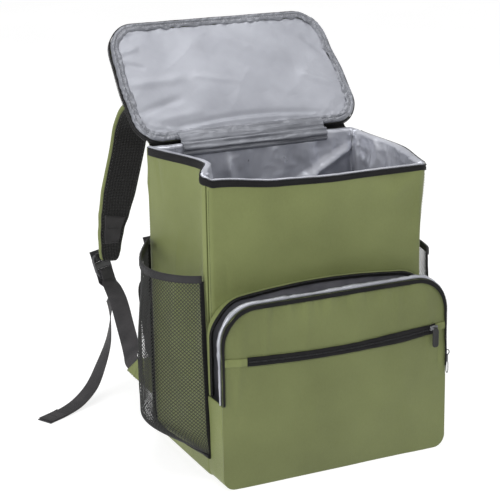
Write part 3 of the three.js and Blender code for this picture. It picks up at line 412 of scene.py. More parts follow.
# Threads of a plain weave on the piece's own UV map: the product of two sine waves, pitch in metres
def weave(tree, pitch, stretch=(1.0, 1.0)):
    surface = addNode(tree, "ShaderNodeUVMap", uv_map="surface").outputs["UV"]
    parts = addNode(tree, "ShaderNodeSeparateXYZ", {"Vector": surface})
    turn = 2 * np.pi / pitch
    warp = maths(tree, "SINE", maths(tree, "MULTIPLY", parts.outputs["X"], turn / stretch[0]))
    weft = maths(tree, "SINE", maths(tree, "MULTIPLY", parts.outputs["Y"], turn / stretch[1]))
    return maths(tree, "MULTIPLY", warp, weft)


clothLook = {"dark": (101, 108, 62), "light": (118, 126, 76), "roughness": 0.56, "sheen": 0.06, "pitch": 0.0011,
             "weaveDepth": 0.00012, "creaseDepth": 0.0012}


# Olive polyester: a plain weave, slubs in its colour and soft creases. Its tones are multiplied by depth, which below 1
# gives a darker copy as painted shade
def makeClothMaterial(name="greenPolyester", depth=1.0):
    material, tree, shader = startMaterial(name, clothLook["roughness"], sheen=clothLook["sheen"], specular=0.35)
    place = addNode(tree, "ShaderNodeTexCoord").outputs["Object"]
    broad = noise(tree, place, 9, 3)
    slub = noise(tree, place, 520, 1, stretch=(1, 1, 0.5))
    blend = maths(tree, "ADD", maths(tree, "MULTIPLY", broad, 0.85), maths(tree, "MULTIPLY", slub, 0.15))
    dark, light = (linear(*[tone * depth for tone in clothLook[key]]) for key in ("dark", "light"))
    colour = tint(tree, blend, dark, light, 0.3, 0.7)
    tree.links.new(colour, shader.inputs["Base Color"])
    threads = bump(tree, weave(tree, clothLook["pitch"]), clothLook["weaveDepth"], 0.5)
    soft = bump(tree, noise(tree, place, 60, 3), clothLook["creaseDepth"], 0.35, threads)
    tree.links.new(soft, shader.inputs["Normal"])
    shader.inputs["Sheen Roughness"].default_value = 0.5
    return material


silverLook = {"dark": (146, 148, 156), "light": (176, 178, 186), "roughness": 0.36, "metallic": 0.35}


# Silver lining: satin film with fine crumples and a faint broad tone
def makeSilverMaterial(name="silverLining", look=silverLook, crumple=0.16):
    material, tree, shader = startMaterial(name, look["roughness"], metallic=look["metallic"])
    place = addNode(tree, "ShaderNodeTexCoord").outputs["Object"]
    colour = tint(tree, noise(tree, place, 14, 3), linear(*look["dark"]), linear(*look["light"]))
    tree.links.new(colour, shader.inputs["Base Color"])
    rough = addNode(tree, "ShaderNodeMapRange", {"Value": noise(tree, place, 55, 2), "To Min": look["roughness"] - 0.07,
                                                 "To Max": look["roughness"] + 0.1})
    tree.links.new(rough.outputs["Result"], shader.inputs["Roughness"])
    warped = addNode(tree, "ShaderNodeMapping", {"Vector": place, "Rotation": (0.4, 0.7, 0.3)})
    fine = bump(tree, noise(tree, warped.outputs["Vector"], 330, 2), 0.0002, 0.25)
    ridges = addNode(tree, "ShaderNodeTexNoise", {"Vector": warped.outputs["Vector"], "Scale": 34, "Detail": 2.0,
                                                  "Distortion": 0.9})
    crumpled = bump(tree, ridges.outputs["Fac"], 0.004, crumple, fine)
    tree.links.new(crumpled, shader.inputs["Normal"])
    return material


# Cloth in one tone with a rib across it: height is the sine of the place along the tape
def makeTapeMaterial(name, dark, light, roughness, pitch, ribs=(1.0, 1.0), depth=0.00016, specular=0.3):
    material, tree, shader = startMaterial(name, roughness, sheen=0.03, specular=specular)
    place = addNode(tree, "ShaderNodeTexCoord").outputs["Object"]
    colour = tint(tree, noise(tree, place, 45, 3), linear(*dark), linear(*light))
    tree.links.new(colour, shader.inputs["Base Color"])
    tree.links.new(bump(tree, weave(tree, pitch, ribs), depth, 0.6), shader.inputs["Normal"])
    return material


# Moulded plastic: fine spark grain and a slight unevenness of its gloss
def makePlasticMaterial(name, tone, roughness, metallic=0.0):
    material, tree, shader = startMaterial(name, roughness, metallic=metallic)
    place = addNode(tree, "ShaderNodeTexCoord").outputs["Object"]
    colour = tint(tree, noise(tree, place, 120, 2), linear(*[t * 0.88 for t in tone]), linear(*tone))
    tree.links.new(colour, shader.inputs["Base Color"])
    rough = addNode(tree, "ShaderNodeMapRange", {"Value": noise(tree, place, 90, 3), "To Min": roughness - 0.06,
                                                 "To Max": roughness + 0.08})
    tree.links.new(rough.outputs["Result"], shader.inputs["Roughness"])
    tree.links.new(bump(tree, noise(tree, place, 2600, 1), 0.00004, 0.4), shader.inputs["Normal"])
    return material


airMeshLook = {"pitch": 0.0046, "slant": 0.55, "depth": 0.0009}


# Air mesh: a staggered field of small dimples, the cosine of two slanted directions; the dimples are coloured darker,
# partly painted shade in the hollows and partly the dark layer under the openings
def makeAirMeshMaterial():
    material, tree, shader = startMaterial("airMesh", 0.8, sheen=0.1, specular=0.3)
    surface = addNode(tree, "ShaderNodeUVMap", uv_map="surface").outputs["UV"]
    parts = addNode(tree, "ShaderNodeSeparateXYZ", {"Vector": surface})
    turn = 2 * np.pi / airMeshLook["pitch"]
    across = maths(tree, "MULTIPLY", parts.outputs["X"], turn * airMeshLook["slant"])
    up = maths(tree, "MULTIPLY", parts.outputs["Y"], turn)
    waves = [maths(tree, "COSINE", maths(tree, operation, across, up)) for operation in ("ADD", "SUBTRACT")]
    dimpleHeightAndShade = maths(tree, "MULTIPLY", *waves)
    # Darker in the dimples: painted shade in the hollows, with the dark layer under the openings
    colour = tint(tree, dimpleHeightAndShade, linear(12, 12, 13), linear(44, 42, 43), 0.15, 0.6)
    tree.links.new(colour, shader.inputs["Base Color"])
    tree.links.new(bump(tree, dimpleHeightAndShade, airMeshLook["depth"], 0.8), shader.inputs["Normal"])
    return material


green = makeClothMaterial()
# A darker copy of the same cloth for the pocket's face: painted shade
greenFaceShaded = makeClothMaterial("pocketPolyesterShaded", 0.92)
silver = makeSilverMaterial()
# The tub's copy of the silver film is lighter: painted light inside the tub
tubSilverPaintedLight = makeSilverMaterial("tubLiningPaintedLight", {"dark": (160, 162, 171), "light": (203, 205, 213), "roughness": 0.3,
                                                "metallic": 0.45}, 0.3)
# The lid's copy of the silver film is darker and duller: painted shade on the lid
lidSilverPaintedShade = makeSilverMaterial("lidLiningPaintedShade", {"dark": (142, 144, 152), "light": (162, 164, 172), "roughness": 0.46,
                                             "metallic": 0.2}, 0.14)
# Darker silver for the binding; the hinge flap takes it too, as painted shade under the lid
binding = makeSilverMaterial("silverBindingAndFlapShade", {"dark": (98, 100, 106), "light": (134, 136, 143), "roughness": 0.4,
                                               "metallic": 0.25}, 0.6)
pocketGrey = makeTapeMaterial("greyLining", (102, 102, 109), (124, 124, 131), 0.7, 0.0009)
tapeBlack = makeTapeMaterial("blackTape", (15, 15, 16), (24, 23, 24), 0.66, 0.0012, (1.0, 0.7), specular=0.16)
webBlack = makeTapeMaterial("webbing", (44, 43, 45), (60, 58, 60), 0.66, 0.0022, (1.0, 0.55), 0.0003)
bandBlack = makeTapeMaterial("elastic", (30, 30, 31), (44, 43, 45), 0.6, 0.0015, (0.8, 1.0), 0.0002)
netBlack = makePlasticMaterial("netYarn", (46, 46, 47), 0.6)
coilBlack = makePlasticMaterial("coil", (30, 30, 32), 0.32)
lockGrey = makePlasticMaterial("lockPlastic", (62, 62, 65), 0.42)
sliderMetal = makePlasticMaterial("sliderMetal", (120, 121, 124), 0.34, 0.8)
pullGrey = makePlasticMaterial("pullPlastic", (20, 20, 20), 0.5)
greenThread = makePlasticMaterial("greenThread", (96, 106, 66), 0.7)
silverThread = makePlasticMaterial("silverThread", (186, 187, 192), 0.55)
greyThread = makePlasticMaterial("greyThread", (92, 92, 92), 0.7)
blackThread = makePlasticMaterial("blackThread", (26, 26, 27), 0.7)
airMesh = makeAirMeshMaterial()
print("materials made:", len(bpy.data.materials))


# --- main compartment ---

rimRows = [(0.0, -0.012), (0.3, -0.032), (0.6, -0.038), (1.0, -0.045), (1.8, -0.052), (2.4, -0.03), (3.2, -0.016),
           (4.0, -0.01), (5.0, 0.0), (5.8, 0.008), (6.8, 0.01), (7.4, -0.002), (8.0, -0.012)]
dentRows = [(6.7, 0.78, 0.36, 1.0, 0.9, 0.085), (0.5, 0.5, 0.5, 1.0, 0.36, -0.034), (2.5, 0.5, 0.5, 1.0, 0.6, -0.03),
            (1.7, 0.9, 0.9, 0.64, 0.34, 0.024), (2.5, 0.45, 0.45, 0.5, 0.4, 0.03)]


# The plan of the compartment: places 0 to 1, 2 to 3, 4 to 5 and 6 to 7 are its straight sides, the rest its corners
def planAt(place, inset):
    turned = np.mod(place, 8)
    stretch = np.floor(turned).astype(int)
    share = turned - stretch
    side = stretch // 2
    isCorner = stretch % 2 == 1
    angle = (-1 + side + np.where(isCorner, share, 0)) * np.pi / 2
    normal = np.stack([np.cos(angle), np.sin(angle)], axis=-1)
    signs = np.array([[-1, -1], [1, -1], [1, 1], [-1, 1]])
    reach = np.array([halfWidth - bag["corner"], halfDepth - bag["corner"]])
    first, second = signs[side % 4] * reach, signs[(side + 1) % 4] * reach
    middle = np.where(isCorner[..., None], second, mix(first, second, share[..., None]))
    return middle + normal * (bag["corner"] - inset)[..., None], normal


# Depth of the dents: each is a smooth step along the plan times one up the wall
def dentAt(place, high):
    total = 0
    for where, before, after, level, spread, depth in dentRows:
        away = np.mod(place - where + 4, 8) - 4
        along = ease(np.where(away < 0, 1 + away / before, 1 - away / after))
        total = total + depth * bag["width"] * along * ease(1 - np.abs(level - high) / spread)
    return total


# A point of the wall at a place round the plan, a share of the height, an inset and a lift
def wallAt(place, high, inset, lift=0.0):
    place, high, inset = np.broadcast_arrays(place, high, inset)
    level = high * bag["height"]
    point, normal = planAt(place, inset + cornerCut(bag["roll"], bag["roll"] - level))
    point = point - normal * dentAt(place, high)[..., None]
    rise = fromTable(rimRows, np.mod(place, 8)) * bag["height"] * high ** 6
    return pointsAt(point[..., 0], point[..., 1], level + rise + lift)


# Level outward directions at places round the plan
def outwardsAt(place):
    normal = planAt(place, 0.0 * place)[1]
    return pointsAt(normal[..., 0], normal[..., 1], 0.0)


shellLook = {"sway": 0.7, "pucker": 0.45, "puckerReach": 0.05, "edge": 1.1}


# Relief of a wall, in millimetres outwards: slow sway, and puckers that fade away from the seam under the zip
def shellRelief(place, high):
    flat = wallAt(place, high, 0.0)
    sway = shellLook["sway"] * softCloud(flat, (46, 46, 150), 3)
    under = np.exp(-(1 - high) / shellLook["puckerReach"])
    pucker = shellLook["pucker"] * softCloud(flat, (9, 9, 40), 5) * under
    foot = 0.4 * softCloud(flat, (14, 14, 50), 6) * np.exp(-high / 0.04)
    return (sway + pucker + foot) * ease(high / 0.03)


# Folds of single panels: (place at the top, place at the foot, half width, depth, lowest, highest)
panelFolds = {
    "left_panel": [(5.75, 6.5, 0.07, 1.6, 0.72, 1.05), (6.1, 6.62, 0.05, -1.4, 0.8, 1.05),
                   (6.95, 6.5, 0.1, 1.5, 0.6, 1.0), (6.4, 6.3, 0.12, 1.2, 0.35, 0.8)],
    "right_panel": [(2.3, 2.8, 0.12, 1.5, 0.5, 1.0), (2.8, 2.2, 0.1, 1.2, 0.25, 0.7)],
    "front_panel": [(0.02, 0.12, 0.03, -0.9, 0.55, 0.75), (1.02, 0.93, 0.05, 1.2, 0.6, 1.0)],
    "back_panel": [],
}
# Slanting folds of single panels: (across, height) of each end, half width, height, in millimetres
panelStrokes = {
    "front_panel": [(-152, 208, -118, 222, 3.5, -1.6), (-150, 218, -100, 236, 6, 1.4), (-140, 372, -60, 352, 10, 1.2),
                    (150, 366, 96, 330, 12, 1.6), (60, 372, 140, 356, 8, -1.0), (-60, 250, 60, 262, 14, 1.2)],
}
panelSpans = {"front_panel": (-0.5, 1.5), "right_panel": (1.5, 3.5), "back_panel": (3.5, 5.5), "left_panel": (5.5, 7.5)}
arcShare = np.pi / 2 * bag["corner"]  # length of a corner in millimetres


# A wall: its relief is added along the outer surface's normals, and it dips by exp(-distance) beside each seam
def makePanel(name):
    start, end = panelSpans[name]
    trim = gap / 2 / arcShare
    straight = 130 if name in ("front_panel", "back_panel") else 90
    columns = withEdges(spaced([start + trim, start + 0.5, end - 0.5, end - trim], [6, straight, 6]), 0.06)
    rows = withEdges(spaced([0, 0.018, 0.96, 1], [6, 130, 10]), 0.003)
    place, high = np.meshgrid(columns, rows)
    outer = wallAt(place, high, 0.0)
    facing = gridNormals(outer)
    relief = shellRelief(place, high) + foldsAt(place, high, panelFolds[name])
    if name in panelStrokes:
        flat = wallAt(place, high, 0.0)
        relief = relief + strokesAt(flat[..., 0], flat[..., 2], panelStrokes[name])
    besideSeam = np.minimum(np.abs(place - start), np.abs(place - end)) * arcShare
    relief = relief - 0.5 * np.exp(-besideSeam / 2.2)
    inner = wallAt(place, high, bag["wall"])
    return addShell(name + "_cloth", outer + facing * relief[..., None], inner, green, shellLook["edge"],
                    replaced=[name])


for panelName in panelSpans:
    makePanel(panelName)


# The base: a flat pad with rounded corners
def makeBase():
    inset = bag["roll"] + bag["wall"] + gap
    x = edged(-halfWidth + inset, halfWidth - inset, 60, 1.5)
    y = edged(-halfDepth + inset, halfDepth - inset, 40, 1.5)
    gridX, gridY = np.meshgrid(x, y)
    under = pointsAt(gridX, gridY, 0.0)
    over = under + [0, 0, bag["wall"] - gap]
    addShell("base_cloth", under, over, green, 1.6, replaced=["base_panel"])


makeBase()
print("walls made")

liningLook = {"crumple": 3.0, "outwards": 0.6}
# Pleats of the lining, as the panels' folds, but depth is into the compartment
liningFolds = [
    (3.42, 3.7, 0.10, 5.0, 0.1, 1.02), (3.62, 3.5, 0.12, 4.5, 0.2, 1.02), (3.02, 3.3, 0.035, 4.0, 0.3, 1.03),
    (2.95, 2.9, 0.026, 4.4, 0.45, 1.03), (2.72, 2.7, 0.14, 6.5, 0.4, 1.03), (2.85, 2.8, 0.02, -2.0, 0.6, 1.0),
    (2.53, 2.5, 0.03, 3.4, 0.5, 1.03), (2.45, 2.52, 0.02, 3.0, 0.6, 1.03), (2.38, 2.3, 0.03, 3.0, 0.5, 1.03),
    (2.3, 2.36, 0.02, 2.8, 0.6, 1.03), (2.22, 2.14, 0.026, 2.6, 0.5, 1.03), (2.1, 2.2, 0.03, 2.2, 0.4, 1.03),
    (3.86, 6.2, 0.085, 8.5, 0.6, 1.02), (4.25, 4.0, 0.055, 5.0, 0.7, 1.03), (4.04, 3.2, 0.06, -3.0, 0.6, 0.95),
    (4.5, 4.58, 0.07, -6.0, 0.62, 0.98), (4.66, 4.5, 0.07, 5.0, 0.5, 1.0), (4.36, 4.6, 0.06, 2.6, 0.6, 0.94),
    (4.82, 5.6, 0.05, 4.0, 0.7, 1.02), (4.0, 4.02, 0.025, -3.0, 0.3, 1.03),
    (5.1, 5.4, 0.09, 3.0, 0.4, 1.03), (5.6, 5.9, 0.1, 3.5, 0.3, 1.03), (6.1, 6.4, 0.05, 3.0, 0.4, 1.03),
    (6.4, 6.2, 0.05, 3.0, 0.3, 1.03), (7.2, 7.5, 0.15, 2.5, 0.3, 1.03), (0.2, 0.05, 0.04, 3.0, 0.3, 1.03),
    (0.45, 0.55, 0.04, 2.6, 0.3, 1.03), (0.75, 0.6, 0.04, 3.0, 0.4, 1.03), (1.3, 1.5, 0.1, 3.0, 0.3, 1.03),
]


# The lining: a welded tub whose top is folded out over the panels, with pleats and crumples inside
def makeLining():
    around = [spaced([k, k + 1], [90 if k % 4 == 0 else 70 if k % 2 == 0 else 12])[:-1] for k in range(8)]
    places = np.concatenate(around)
    floorLevel = (bag["wall"] + gap) / bag["height"]
    highs = spaced([floorLevel * 1.25, 0.95, 1.0], [110, 8])
    place, high = np.meshgrid(places, highs)
    inside = wallAt(place, high, liningInner)
    inwards = -outwardsAt(place)
    pleats = foldsAt(place, high, liningFolds)
    crumple = creases(inside, (26, 26, 40), 31, 3.0) + 0.35 * creases(inside, (11, 11, 16), 32, 4.0)
    held = ease((high - floorLevel) / 0.08)
    relief = np.maximum(pleats + liningLook["crumple"] * crumple, -liningLook["outwards"] * bag["lining"])
    inside = inside + inwards * (relief * held)[..., None]
    behind = wallAt(place, high, bag["wall"] + gap)
    lipHeight = gap + bag["lining"]
    ripple = 0.35 * cloudNoise(wallAt(places, 1.0, 0.0), (7, 7, 7), 33)

    def lip(inset, lift):
        return (wallAt(places, 1.0, inset, lift) + toTop * ripple[:, None])[None]

    def floor(share, level):
        return pointsAt(inside[0, :, 0] * share, inside[0, :, 1] * share, level)[None]

    z = floorLevel * bag["height"]
    rings = [floor(0.002, z + 1.2), floor(0.5, z + 1.4), floor(0.9, z + 1.3), inside,
             lip(liningInner - 0.6, lipHeight * 0.8), lip(bag["wall"] * 0.75, lipHeight + 0.5),
             lip(bag["wall"] * 0.3, lipHeight + 0.6), lip(0.1, lipHeight), lip(-0.15, gap * 0.6 - 0.8),
             lip(bag["wall"] * 0.3, gap), lip(liningInner - 1.2, gap), behind[::-1],
             floor(0.9, z), floor(0.5, z), floor(0.002, z)]
    grid = np.concatenate(rings)
    rows, columns = grid.shape[:2]
    index = np.arange(rows * columns).reshape(rows, columns)
    flat = np.stack([alongGrid(grid, 1), alongGrid(grid, 0)], axis=-1).reshape(-1, 2)
    # The tub takes the lighter copy of the silver film, as painted light inside it
    addMesh("lining_tub", grid.reshape(-1, 3), gridQuads(index, True), tubSilverPaintedLight, flat, replaced=["lining"])


makeLining()

rimLook = {"coilLift": 1.0, "toothPitch": 1.7}


# The zip's tape round the rim, and its row of teeth above the tape
def makeRimZip():
    places = spaced([6, 7, 8, 9, 10, 11], [90, 12, 130, 12, 90])
    places = places[(places > 5.5) & (places < 11.5)]
    tapeHigh = spaced([1 - bag["rimTape"] / bag["height"], 1], [8])
    place, high = np.meshgrid(withEdges(places, 0.01), withEdges(tapeHigh, 0.002))
    wave = 0.25 * cloudNoise(wallAt(place, high, 0.0), (16, 16, 8), 41)
    roll = 0.5 * np.sin(np.pi * ease((high - tapeHigh[0]) / (1 - tapeHigh[0])))
    outer = wallAt(place, high, -gap - bag["tape"] - wave - roll)
    inner = wallAt(place, high, -gap)
    addShell("rim_zip_tape_cloth", outer, inner, tapeBlack, 0.7, replaced=["rim_zip_tape"])
    line = wallAt(places, 1.0, -gap - bag["tape"] - 0.2, rimLook["coilLift"])
    facing = outwardsAt(places)
    at, out = evenly(line, rimLook["toothPitch"], facing)
    out = unit(out)
    addThreads("rim_zip_teeth", at - toTop * 0.9 - out * 0.2, at + toTop * 0.7 + out * 0.1, out, 1.0, 1.0, coilBlack,
               slot="black_tape")
    low = wallAt(places, 1 - bag["rimTape"] * 0.86 / bag["height"], -gap - bag["tape"] - 0.5)
    addStitches("rim_stitches", [(low, facing)], blackThread, slot="black_tape")


makeRimZip()


seamLook = {"beside": 0.16, "low": 0.03, "high": 0.965, "lift": 0.35}


# A line of stitches beside each upright seam
def makeSeamStitches():
    lines = []
    highs = spaced([seamLook["low"], seamLook["high"]], [120])
    for start, _ in panelSpans.values():
        place = np.full_like(highs, start + seamLook["beside"])
        lines.append((wallAt(place, highs, -seamLook["lift"]), outwardsAt(place)))
    addStitches("seam_stitches", lines, greenThread, slot="green_fabric")


makeSeamStitches()
print("lining and rim zip made")


# --- lid ---

lid = {
    "width": 332, "length": 191, "lean": 42, "foam": 8, "dome": 6, "pillow": 2.2, "freeRadius": 38, "hingeRadius": 32,
    "hingeGap": 7, "binding": 12, "bindingHeight": 4.6, "flapWidth": 210, "flapDrop": 14,
}
lidEdges = {"left": [(0, 0.93), (0.1, 0.945), (0.25, 0.965), (0.45, 0.975), (0.72, 0.965), (1, 0.93)],
            "right": [(0, 0.95), (0.1, 0.98), (0.25, 1), (0.45, 0.995), (0.72, 0.965), (1, 0.94)]}
lean = np.radians(lid["lean"])
lidAlong = np.array([0, np.sin(lean), np.cos(lean)])
lidUp = np.array([0, -np.cos(lean), np.sin(lean)])
lidMiddle = (lid["hingeGap"] + lid["length"]) / 2


# A point of the open lid: across it, along it from the hinge line, and lifted towards its inner side
def lidAt(across, along, lift):
    across, along, lift = np.broadcast_arrays(across, along, lift)
    start = pointsAt(across, halfDepth, bag["height"])
    return start + along[..., None] * lidAlong + lift[..., None] * lidUp


# Directions in the lid's plane, given as (across, along), as directions in space
def onLidPlane(flat):
    return flat[:, :1] * toRight + flat[:, 1:] * lidAlong


# Share of its width that the lid keeps on each side, at a place along it
def lidEdge(x, along):
    share = along / lid["length"]
    return np.where(x < 0, fromTable(lidEdges["left"], share), fromTable(lidEdges["right"], share))


# Columns and rows over the lid's rounded outline: each row spans from edge to edge, and the rows crowd at the ends
def lidGrid(inset, columns, edge=0.03):
    low, high = lid["hingeGap"] + inset, lid["length"] - inset
    lowRadius, highRadius = lid["hingeRadius"] - inset, lid["freeRadius"] - inset
    turn = np.radians(spaced([0, 90], [16]))
    rows = np.concatenate([low + lowRadius * (1 - np.cos(turn)),
                           np.linspace(low + lowRadius, high - highRadius, 64)[1:-1],
                           high - highRadius * (1 - np.cos(turn[::-1]))])
    rows = withEdges(rows, 1.0)
    cutLow = cornerCut(lowRadius, low + lowRadius - rows)
    cutHigh = cornerCut(highRadius, rows - high + highRadius)
    half = lid["width"] / 2 - inset - cutLow - cutHigh
    share, along = np.meshgrid(edged(-1, 1, columns, edge), rows)
    x = share * half[:, None]
    x = x * lidEdge(x, along)
    outwards = (np.abs(x / (lid["width"] / 2)) ** 4 + np.abs((along - lidMiddle) / (high - lidMiddle)) ** 4) ** 0.25
    return x, along, np.clip(outwards, 0, 1)


# The lid's outline as an even path with outward normals, from the right end of the hinge flap round to its left
def lidPath(inset, step):
    left, right = -lid["width"] / 2 + inset, lid["width"] / 2 - inset
    low, high = lid["hingeGap"] + inset, lid["length"] - inset
    lowRadius, highRadius = lid["hingeRadius"] - inset, lid["freeRadius"] - inset
    corners = [(right - lowRadius, low + lowRadius, lowRadius, -90),
               (right - highRadius, high - highRadius, highRadius, 0),
               (left + highRadius, high - highRadius, highRadius, 90),
               (left + lowRadius, low + lowRadius, lowRadius, 180)]
    turn = spaced([0, 90], [18])
    arcs = [np.stack([x + r * np.cos(np.radians(a + turn)), y + r * np.sin(np.radians(a + turn))], axis=-1)
            for x, y, r, a in corners]
    flapHalf = lid["flapWidth"] / 2 + gap
    line = np.concatenate([[[flapHalf, low]]] + arcs + [[[-flapHalf, low]]])
    line = evenly(line, step)[0]
    line[:, 0] *= lidEdge(line[:, 0], line[:, 1])
    slope = unit(np.gradient(line, axis=0))
    return line, np.stack([slope[:, 1], -slope[:, 0]], axis=-1)


lidLook = {"wrinkle": 0.45, "pucker": 1.3, "coverSway": 0.9, "bindingPucker": 1.0, "scallop": 1.9}
lidFolds = [  # (across, along) of each end, half width, height
    (-8, 166, 90, 112, 13, 2.2), (-40, 150, 40, 96, 9, -1.2), (96, 90, 150, 63, 6, 1.8), (-152, 94, -68, 97, 7, 1.8),
    (-146, 50, -82, 68, 6, -2.2), (-60, 101, 6, 84, 5, 1.1), (-150, 144, -122, 150, 3.5, 1.4),
    (-148, 128, -120, 118, 4, -1.2), (120, 150, 150, 112, 5, -1.2), (-130, 36, -60, 44, 7, 1.6),
    (20, 70, 120, 40, 10, -1.0),
]


# Outside of the lid: a dome of 1 - outwards^2 with a slow sway
def makeLidCover():
    x, along, outwards = lidGrid(0, 120)
    bowl = 1 - outwards ** 2
    under = lidAt(x, along, -lid["foam"] - lid["dome"] * bowl)
    sway = lidLook["coverSway"] * softCloud(under, (55, 55, 55), 51)
    under = under - lidUp * (sway * ease(bowl * 3))[..., None]
    cover = addShell("lid_cover_cloth", lidAt(x, along, 0.0), under, green, 6.5, replaced=["lid_cover"])


# Lining of the lid: a low pillow with slanting wrinkles, and puckers that run in from the binding
def makeLidLining():
    x, along, outwards = lidGrid(lid["binding"] - 1, 150)
    bowl = 1 - outwards ** 2
    flat = pointsAt(x, along, 0.0)
    turned = pointsAt(x * 0.85 + along * 0.53, along * 0.85 - x * 0.53, 0.0)
    wrinkle = lidLook["wrinkle"] * (creases(turned, (110, 42, 20), 61, 2.2) - 0.35)
    fine = 0.16 * softCloud(turned, (34, 14, 20), 62)
    rim = lidLook["pucker"] * softCloud(flat, (8, 8, 20), 63) * np.exp(-bowl * 11)
    arch = along - 17 - 15 * np.clip(1 - ((x - 5) / 135) ** 2, 0, 1)
    crease = (1.5 * np.exp(-((arch + 5) / 4.5) ** 2) - 2.6 * np.exp(-(arch / 4.0) ** 2)) * ease((150 - np.abs(x)) / 40)
    folds = strokesAt(x, along, lidFolds) + crease
    lift = gap + bag["lining"] + (lid["pillow"] + 1.0) * np.sqrt(bowl) + (wrinkle + fine + folds) * ease(bowl * 5) + rim
    over = lidAt(x, along, np.maximum(lift, gap + bag["lining"]))
    # The lid takes the darker copy of the silver film, as painted shade
    addShell("lid_lining_film", over, lidAt(x, along, gap), lidSilverPaintedShade, 0.8, replaced=["lid_lining"])


# Binding: a soft roll along the outline, ruched by its seam: its section is pushed about by a fine noise over the
# lid, and its inner edge runs in scallops
def makeLidBinding():
    line, normal = lidPath(0, 1.2)
    place = pointsAt(*line.T, 0.0)
    scallop = lidLook["scallop"] * softCloud(place, (9, 9, 8), 72)
    shape = smoothLine([(0.93, 0.4), (0.6, 0.28), (0.25, 0.18), (0.03, 0.12), (0, 0.45), (0.07, 0.8), (0.22, 1),
                        (0.4, 0.95), (0.5, 0.7), (0.58, 0.86), (0.75, 0.9), (0.9, 0.8), (1, 0.6)], 37)
    inner = ease((shape[None, :, 0] - 0.45) * 2)
    across = -shape[None, :, 0] * lid["binding"] - inner * scallop[:, None]
    centre = line[:, None] + normal[:, None] * across[..., None]
    flat = pointsAt(centre[..., 0], centre[..., 1], 0.0)
    ruche = softCloud(flat, (5.5, 5.5, 8), 71) + 0.8 * (creases(flat, (9, 9, 8), 74, 2.5) - 0.4)
    top = ease((shape[None, :, 1] - 0.4) * 2.4)
    valley = np.exp(-((shape[None, :, 0] - 0.5) / 0.07) ** 2)
    lift = shape[None, :, 1] * lid["bindingHeight"] + lidLook["bindingPucker"] * ruche * top * (1 - 0.6 * valley)
    edge = lidAt(centre[..., 0], centre[..., 1], lift)
    edge = edge + onLidPlane(normal)[:, None] * (0.5 * ruche * (1 - top))[..., None]
    addBar("lid_binding_roll", edge, binding, replaced=["lid_binding"])
    seam = line + normal * (-0.5 * lid["binding"])
    path = lidAt(seam[:, 0], seam[:, 1], 0.72 * lid["bindingHeight"])
    addStitches("lid_stitches", [(path, lidUp)], silverThread, wide=0.8, high=0.8,
                slot="silver_lining")


# The lid's half of the zip: a rounded tape beside the outline, and its teeth
def makeLidZip():
    line, normal = lidPath(0, 1.5)
    place = pointsAt(*line.T, 0.0)
    wave = 0.3 * cloudNoise(place, (20, 20, 8), 73)
    section = padSection(bag["tape"], lid["foam"] * 0.6 + bag["tape"], 0.5)
    middle = (bag["tape"] - lid["foam"] * 0.6) / 2
    centre = line + normal * (gap + bag["tape"] / 2 + wave[:, None])
    reach = centre[:, None] + normal[:, None] * section[None, :, :1]
    rings = lidAt(reach[..., 0], reach[..., 1], middle + section[None, :, 1])
    addBar("lid_zip_tape_cloth", rings, tapeBlack, replaced=["lid_zip_tape"])
    edge = line + normal * (gap + bag["tape"] + 0.1)
    path = lidAt(edge[:, 0], edge[:, 1], -lid["foam"] * 0.6 - 0.9)
    at, around = evenly(path, rimLook["toothPitch"], onLidPlane(normal))
    addThreads("lid_zip_teeth", at - lidUp * 0.8, at + lidUp * 0.9, unit(around), 1.0, 1.0, coilBlack,
               slot="black_tape")


makeLidCover()
makeLidLining()
makeLidBinding()
makeLidZip()

flapLook = {"ripple": 1.7, "fine": 0.8}


# Flap over the hinge: a smooth line through its folds, carried across the bag, with long low ripples
def makeHinge():
    inner = halfDepth - liningInner - gap - bag["lining"] / 2
    wallRows = [(0, 1), (0.2, 0.74), (0.06, 0.52), (0.27, 0.3), (0.1, 0.04)]
    folded = [(0, inner - 1.6 - reach * lid["flapDrop"], bag["height"] - drop * lid["flapDrop"])
              for reach, drop in wallRows]
    over = [(0, inner - gap, bag["height"] + 2 * (gap + bag["lining"])), (0, inner + 3.6, bag["height"] + 2.3)]
    lidRows = [(-0.25, 1.3), (0.2, 1.15), (0.55, 0.95), (0.8, 0.72), (0.96, 0.3)]
    onLid = [lidAt(0.0, lid["hingeGap"] + along * lid["binding"], lift * lid["bindingHeight"])
             for along, lift in lidRows]
    line = smoothLine(folded + over + onLid, 80)
    x = edged(-lid["flapWidth"] / 2, lid["flapWidth"] / 2, 110, 1.2)
    ragged = 1 + 0.012 * cloudNoise(line * [0, 1, 1], (4, 4, 4), 83)
    grid = pointsAt(x * ragged[:, None], *line.T[1:, :, None])
    facing = gridNormals(grid)
    share = np.linspace(0, 1, len(line))[:, None]
    ripple = flapLook["ripple"] * softCloud(grid, (60, 5, 5), 81) + flapLook["fine"] * softCloud(grid, (14, 7, 7), 82)
    grid = grid + facing * (ripple * ease(share * 6) * ease((1 - share) * 6))[..., None]
    half = facing * bag["lining"] / 2
    # The flap takes the darker binding silver as painted shade, where it hangs under the lid
    addShell("hinge_flap_film", grid - half, grid + half, binding, 0.6, replaced=["hinge_flap"])
    ends = [(grid[row] - facing[row] * 0.7, -facing[row]) for row in (6, -18)]
    addStitches("hinge_stitches", ends, silverThread, slot="silver_lining")


strip = {"drop": 14, "reach": 12, "thickness": 1.7}


